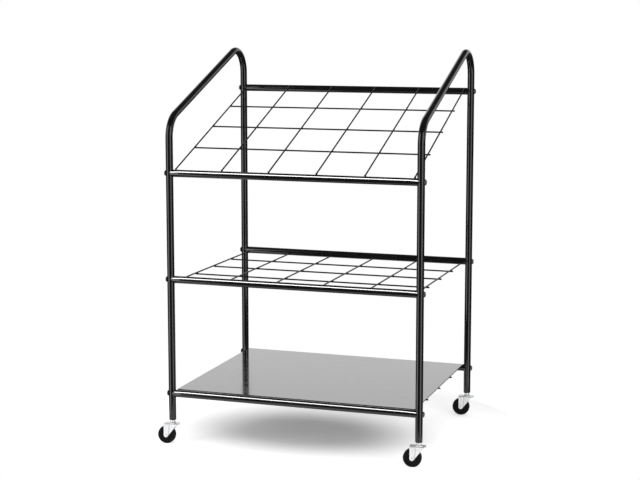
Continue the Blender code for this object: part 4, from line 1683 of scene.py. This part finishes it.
@dataclass(frozen=True)
class Stem:
    """A caster's stem: riveted end, pin, collar and a shank with a grip ring and a tapered tip.

    Attributes:
        radius: Radius of the pin and the shank.
        rivet_reach: How far the riveted end reaches past the pin.
        rivet_height: Height of the riveted end.
        rivet_rim: Height of its upright rim.
        rivet_face_share: Radius of its flat face, as a share of its own.
        collar_reach: How far the collar reaches past the shank.
        collar_height: Height of the collar.
        length: Length of the stem over the collar.
        ring_drop: Distance from the tip to the grip ring's groove.
        ring_width: Width of the groove.
        ring_depth: Depth of the groove.
        ring_slant: Slant of its sides.
        tip_height: Height of the tapered tip.
        tip_taper: How much the tip tapers.
        rounds: Radii of the corners from the riveted end to the tip.
        round_steps: Steps round a corner.
        sides: Steps round the stem.
    """

    radius: float = 0.004
    rivet_reach: float = 0.0022
    rivet_height: float = 0.0018
    rivet_rim: float = 0.0008
    rivet_face_share: float = 0.7
    collar_reach: float = 0.0026
    collar_height: float = 0.0052
    length: float = 0.034
    ring_drop: float = 0.006
    ring_width: float = 0.003
    ring_depth: float = 0.0006
    ring_slant: float = 0.0004
    tip_height: float = 0.0012
    tip_taper: float = 0.0011
    rounds: tuple[float, ...] = (0.0, 0.0012, 0.0006, 0.0001, 0.00005, 0.0001, 0.0006, 0.0005,
                                 0.0004, 0.0002, 0.0002, 0.0002, 0.0002, 0.0005, 0.0003, 0.0)
    round_steps: int = 3
    sides: int = 64

    def surface(self, fork: Fork) -> Surface:
        """Turn the stem about Z from its profile.

        Args:
            fork: The fork that it holds.

        Returns:
            The stem in the caster's frame.
        """
        shank, rivet, collar = self.radius, self.radius + self.rivet_reach, self.radius + self.collar_reach
        under = fork.top - fork.sheet - GAP
        base = under - self.rivet_height
        collar_low = fork.top + fork.race_height + GAP
        collar_high = collar_low + self.collar_height
        top = collar_high + self.length
        ring_high = top - self.ring_drop
        ring_low = ring_high - self.ring_width
        profile = rounded([
            (0, base), (rivet * self.rivet_face_share, base), (rivet, under - self.rivet_rim),
            (rivet, under), (shank, under), (shank, collar_low), (collar, collar_low), (collar, collar_high),
            (shank, collar_high), (shank, ring_low), (shank - self.ring_depth, ring_low + self.ring_slant),
            (shank - self.ring_depth, ring_high - self.ring_slant), (shank, ring_high),
            (shank, top - self.tip_height), (shank - self.tip_taper, top), (0, top)], self.rounds)
        return turned(filleted(profile, steps=self.round_steps, supports=False), self.sides)


@dataclass(frozen=True)
class Socket:
    """The plug in a leg's end that grips the stem: a flange and a ribbed body.

    Attributes:
        flange_height: How far the flange hangs under the leg.
        length: Length of the body in the leg.
        fill_share: Share of the leg's bore that the ribs fill.
        rib_count: Number of ribs.
        first_rib: Height of the lowest rib over the flange.
        rib_pitch: Distance from rib to rib.
        rib_depth: How far a rib stands out.
        rib_heights: Heights of a rib's four corners over its foot.
        flange_rounds: Radii of the flange's corners, from the bore to the body's foot.
        rib_round: Radius of a rib's corners.
        top_rounds: Radii of the corners at the body's top.
        round_steps: Steps round a corner.
        sides: Steps round the socket.
    """

    flange_height: float = 0.002
    length: float = 0.038
    fill_share: float = 0.98
    rib_count: int = 4
    first_rib: float = 0.006
    rib_pitch: float = 0.007
    rib_depth: float = 0.0006
    rib_heights: tuple[float, ...] = (0.0, 0.001, 0.002, 0.0024)
    flange_rounds: tuple[float, ...] = (0.0003, 0.0007, 0.0002, 0.0002)
    rib_round: float = 0.0002
    top_rounds: tuple[float, ...] = (0.0005, 0.0003)
    round_steps: int = 3
    sides: int = 64

    def surface(self, layout: Layout, bore: float) -> Surface:
        """Turn the socket about Z from its profile.

        Args:
            layout: The cart's places.
            bore: Radius of its bore.

        Returns:
            The socket about the stem's axis.
        """
        flange = layout.tube_radius - GAP
        rib = (layout.tube_radius - layout.tube_wall - GAP) * self.fill_share
        body = rib - self.rib_depth
        low, seat = layout.leg_bottom - self.flange_height, layout.leg_bottom - GAP
        top = layout.leg_bottom + self.length
        foot = rounded([(bore, low), (flange, low), (flange, seat), (body, seat)], self.flange_rounds)
        ribs = [(radius, seat + self.first_rib + number * self.rib_pitch + height, self.rib_round)
                for number in range(self.rib_count)
                for radius, height in zip((body, rib, rib, body), self.rib_heights)]
        head = rounded([(body, top), (bore, top)], self.top_rounds)
        profile = filleted(foot + ribs + head, closed=True, steps=self.round_steps, supports=False)
        return turned(profile, self.sides, closed=True)


@dataclass
class Casters(Assembly):
    """The four swivel casters, from the sockets in the legs down to the wheels.

    Attributes:
        socket: The socket in a leg.
        stem: The stem.
        fork: The fork.
        axle: The wheel's axle.
        wheel: The wheel.
        finishes: Finish of each kind of piece, by the last word of its node.
    """

    finishes: ClassVar[dict[str, Finish]] = {
        "socket": SOCKET_BLACK, "stem": STEEL, "fork": ZINC, "axle": STEEL, "wheel": WHEEL_BLACK}
    socket: Socket = Socket()
    stem: Stem = Stem()
    fork: Fork = Fork()
    axle: Axle = Axle()
    wheel: Wheel = Wheel()

    def finish_of(self, node: str) -> Finish:
        """Finish of the piece that stands for a node."""
        return self.finishes[node.rsplit("_", 1)[-1]]

    def build(self, layout: Layout) -> dict[str, Surface]:
        """Shape all four casters, each turned about its stem as its CAD nodes are, by node.

        Args:
            layout: The cart's places.

        Returns:
            Their pieces.
        """
        made = {}
        for end in End:
            for side in Side:
                corner = f"{end.word}_{side.word}"
                axle, stem = middle_of(corner + "_wheel"), layout.leg_point(side, end)
                offset = (stem - axle)[:2]
                axes = about_z(math.atan2(offset[1], offset[0]))
                trail, height = float(np.linalg.norm(offset)), float(axle[2])
                for kind, shape, place in (
                        ("socket", self.socket.surface(layout, self.stem.radius + GAP), stem),
                        ("stem", self.stem.surface(self.fork), stem),
                        ("fork", self.fork.surface(trail, height), stem),
                        ("axle", self.axle.surface(self.fork.width), axle),
                        ("wheel", self.wheel.surface(height, self.axle.radius + GAP), axle)):
                    made[f"{corner}_{kind}"] = shape.placed(place, axes)
        return made


# Studio


@dataclass(frozen=True)
class Softbox:
    """A soft lamp: a flat panel that shines on a point.

    Attributes:
        name: Name of the lamp.
        place: Its middle.
        target: The point that it faces.
        size: Its width and height.
        radiance: Brightness of its face.
        lit_nodes: The only nodes whose pieces it lights, or none for all.
        spared_nodes: Nodes whose pieces it doesn't light.
        in_gloss_only: Whether it shows only as a gleam and leaves plain colours as they are.
    """

    name: str
    place: Place
    target: Place
    size: Span
    radiance: float
    lit_nodes: tuple[str, ...] = ()
    spared_nodes: tuple[str, ...] = ()
    in_gloss_only: bool = False

    def build(self) -> None:
        """Hang the lamp. Its power is its brightness times its area times pi."""
        lamp = bpy.data.lights.new(self.name, "AREA")
        lamp.shape = "RECTANGLE"
        lamp.size, lamp.size_y = self.size
        lamp.energy = self.radiance * self.size[0] * self.size[1] * math.pi
        shown = bpy.data.objects.new(self.name, lamp)
        bpy.context.scene.collection.objects.link(shown)
        away = Vector(self.place) - Vector(self.target)
        shown.location = self.place
        shown.rotation_euler = away.to_track_quat("Z", "Y").to_euler()
        shown.visible_camera = False
        shown.visible_diffuse = not self.in_gloss_only
        if self.lit_nodes or self.spared_nodes:
            named = bpy.data.collections.new(self.name + "_receivers")
            for node in self.lit_nodes + self.spared_nodes:
                named.objects.link(bpy.data.objects[finished(node)])
            for entry in named.collection_objects:
                entry.light_linking.link_state = "INCLUDE" if self.lit_nodes else "EXCLUDE"
            shown.light_linking.receiver_collection = named
        log.info("%s: radiance %.1f", self.name, self.radiance)


CART_MIDDLE = (0.0, 0.0, 0.5)
LAMPS = (
    Softbox("left_softbox", (-2.30, -2.48, 0.5), CART_MIDDLE, (1.85, 5.4), 3.0,
            spared_nodes=("bottom_board",)),
    Softbox("right_softbox", (2.80, -1.81, 0.5), CART_MIDDLE, (1.9, 5.0), 2.4,
            spared_nodes=("bottom_board",)),
    Softbox("front_strip", (-0.6, -1.6, 2.49), (-0.6, -0.25, 0.4), (3.2, 0.9), 44.0,
            lit_nodes=tuple(f"{shelf.word}_front_rail" for shelf in Shelf), in_gloss_only=True),
)


@dataclass
class Floor:
    """A small pale disc under the cart, with a soft shade: the cart's real shadow, deepened and shaped by a
    shadow painted into its own glow.

    Attributes:
        radius: Radius of the disc.
        sides: Steps round it.
        colour: Its colour.
        roughness: Its roughness.
        middle: Middle of the disc and of the shade.
        shade: Half sizes of the painted shadow.
        shade_fade: Where the shade starts and ends to fade, in those half sizes.
        shade_glow: What the floor shows of its own in the shade, kept low to paint the shadow.
        rim_glow: The same round the shade.
        far_fade: Where that glow starts and ends to sink again.
        far_glow: The same further out.
    """

    radius: float = 0.60
    sides: int = 128
    colour: Colour = (0.80, 0.80, 0.80)
    roughness: float = 0.9
    middle: Place = (-0.035, -0.05, 0.0)
    shade: Span = (0.31, 0.20)
    shade_fade: Span = (0.45, 1.35)
    shade_glow: float = 0.16
    rim_glow: float = 0.6
    far_fade: Span = (1.5, 2.6)
    far_glow: float = 0.35

    def material(self) -> bpy.types.Material:
        """Build the floor's material, whose own glow only the eye, gloss and glass see.

        The glow depends on the distance from the middle in the shade's half sizes: low in the shade to paint
        the shadow, high round it.

        Returns:
            The material.
        """
        made = bpy.data.materials.new("pale_floor")
        made.use_nodes = True
        graph = Graph(made.node_tree)
        sockets = made.node_tree.nodes["Principled BSDF"].inputs
        place = graph.add("TexCoord").outputs["Object"]
        share = graph.add("VectorMath", {"operation": "DIVIDE"}, i0=place, i1=(*self.shade, 1.0))
        away = graph.add("VectorMath", {"operation": "LENGTH"}, i0=share.outputs[0]).outputs["Value"]
        # Painted shadow: the glow is low within the shade and rises round it.
        near = graph.ranged(away, *self.shade_fade, self.shade_glow, self.rim_glow)
        sunk = graph.ranged(away, *self.far_fade, 0.0, self.rim_glow - self.far_glow)
        path = graph.add("LightPath").outputs
        seen = graph.math("MAXIMUM", path["Is Camera Ray"], path["Is Glossy Ray"])
        seen = graph.math("MAXIMUM", seen, path["Is Transmission Ray"])
        graph.feed(graph.product(graph.math("SUBTRACT", near, sunk), seen), sockets["Emission Strength"])
        sockets["Base Color"].default_value = rgba(self.colour)
        sockets["Roughness"].default_value = self.roughness
        sockets["Specular IOR Level"].default_value = 0.0
        sockets["Emission Color"].default_value = WHITE
        return made

    def build(self) -> None:
        """Lay the disc: radius times (cos t, sin t) at each angle t."""
        turn = round_angles(self.sides)
        rim = self.radius * np.stack([np.cos(turn), np.sin(turn), 0 * turn], -1)
        mesh = bpy.data.meshes.new("floor")
        mesh.from_pydata(rim.tolist(), [], [tuple(range(len(rim)))])
        mesh.materials.append(self.material())
        floor = bpy.data.objects.new("floor", mesh)
        floor.location = self.middle
        bpy.context.scene.collection.objects.link(floor)


@dataclass
class Backdrop:
    """The light from all round: white to the eye, even on plain colours, uneven in gloss.

    In gloss it is white behind the cart and dim before it, with grey sides. Each fade says
    where along X, Y or Z of the direction looked in the light starts and ends to change.

    Attributes:
        ambient: Brightness on plain colours.
        front_gloss: Brightness of the room's front half in gloss.
        side_gloss: Brightness of its sides just over the horizon.
        back_fade: Where along Y the white back starts.
        horizon_fade: Where along Z it starts.
        top_fade: Where along Z it ends.
        top_slant: How much higher it ends towards the left.
        side_fade: Where along Y the sides start.
        side_low_fade: Where along Z they start.
        side_top_fade: Where along Z they end.
    """

    ambient: float = 0.70
    front_gloss: float = 0.05
    side_gloss: float = 0.55
    back_fade: Span = (-0.1, 0.75)
    horizon_fade: Span = (-0.10, 0.04)
    top_fade: Span = (0.52, 0.32)
    top_slant: float = 0.45
    side_fade: Span = (-0.85, -0.45)
    side_low_fade: Span = (0.0, 0.07)
    side_top_fade: Span = (0.55, 0.30)

    def build(self) -> None:
        """Light the world by the direction looked in and by what kind of ray looks."""
        world = bpy.data.worlds.new("studio")
        bpy.context.scene.world = world
        world.use_nodes = True
        graph = Graph(world.node_tree)
        path = graph.add("LightPath").outputs
        heading = graph.add("SeparateXYZ", Vector=graph.add("TexCoord").outputs["Generated"]).outputs
        behind = graph.ranged(heading["Y"], *self.back_fade)
        over = graph.ranged(heading["Z"], *self.horizon_fade)
        leftward = graph.product(graph.math("MINIMUM", heading["X"], 0.0), self.top_slant)
        under = graph.ranged(graph.math("ADD", heading["Z"], leftward), *self.top_fade)
        wall = graph.product(graph.product(behind, over), under)
        side_low = graph.ranged(heading["Z"], *self.side_low_fade)
        side_top = graph.ranged(heading["Z"], *self.side_top_fade, 0.0, self.side_gloss)
        sideways = graph.ranged(heading["Y"], *self.side_fade)
        beside = graph.product(graph.product(sideways, side_low), side_top)
        gloss = graph.math("MAXIMUM", graph.ranged(wall, 0.0, 1.0, self.front_gloss, 1.0), beside)
        seen = graph.math("MAXIMUM", path["Is Camera Ray"], path["Is Transmission Ray"])
        glossy = graph.product(path["Is Glossy Ray"], gloss)
        plain = graph.math("SUBTRACT", 1.0, graph.math("MAXIMUM", seen, path["Is Glossy Ray"]))
        level = graph.math("ADD", graph.math("MAXIMUM", seen, glossy), graph.product(plain, self.ambient))
        background = world.node_tree.nodes["Background"].inputs
        background["Color"].default_value = WHITE
        graph.feed(level, background["Strength"])


@dataclass
class Camera:
    """The camera at the photograph's viewing angle.

    Attributes:
        place: Place of the camera.
        azimuth: Turn of the camera from +Y.
        pitch: Tilt of the camera under the horizon.
        lens: Focal length in millimetres, on a sensor 36 mm wide.
        shift: Small shift that keeps the legs nearly parallel in the frame.
    """

    place: Place = (1.2783, -3.8076, 1.1243)
    azimuth: float = math.radians(18.60)
    pitch: float = math.radians(7.66)
    lens: float = 85.11
    shift: float = -0.0375

    def build(self) -> None:
        """Stand the camera and look through it."""
        data = bpy.data.cameras.new("camera")
        data.lens = self.lens
        data.shift_y = self.shift
        camera = bpy.data.objects.new("camera", data)
        camera.location = self.place
        camera.rotation_euler = (QUARTER_TURN - self.pitch, 0, self.azimuth)
        bpy.context.scene.collection.objects.link(camera)
        bpy.context.scene.camera = camera


def main() -> None:
    """Build the cart's pieces in order, then the studio round them."""
    logging.basicConfig(level=logging.INFO, format="%(message)s")
    side_frames = SideFrames()
    layout = Layout.read(side_frames.tube_radius, side_frames.wall)
    for assembly in (side_frames, Rails(), Screws(), WireGrids(), Board(), Casters()):
        assembly.dress(assembly.build(layout))
    for prop in (Floor(), Backdrop(), *LAMPS, Camera()):
        prop.build()
    bpy.context.scene.view_settings.view_transform = "Standard"


if __name__ == "__main__":
    main()
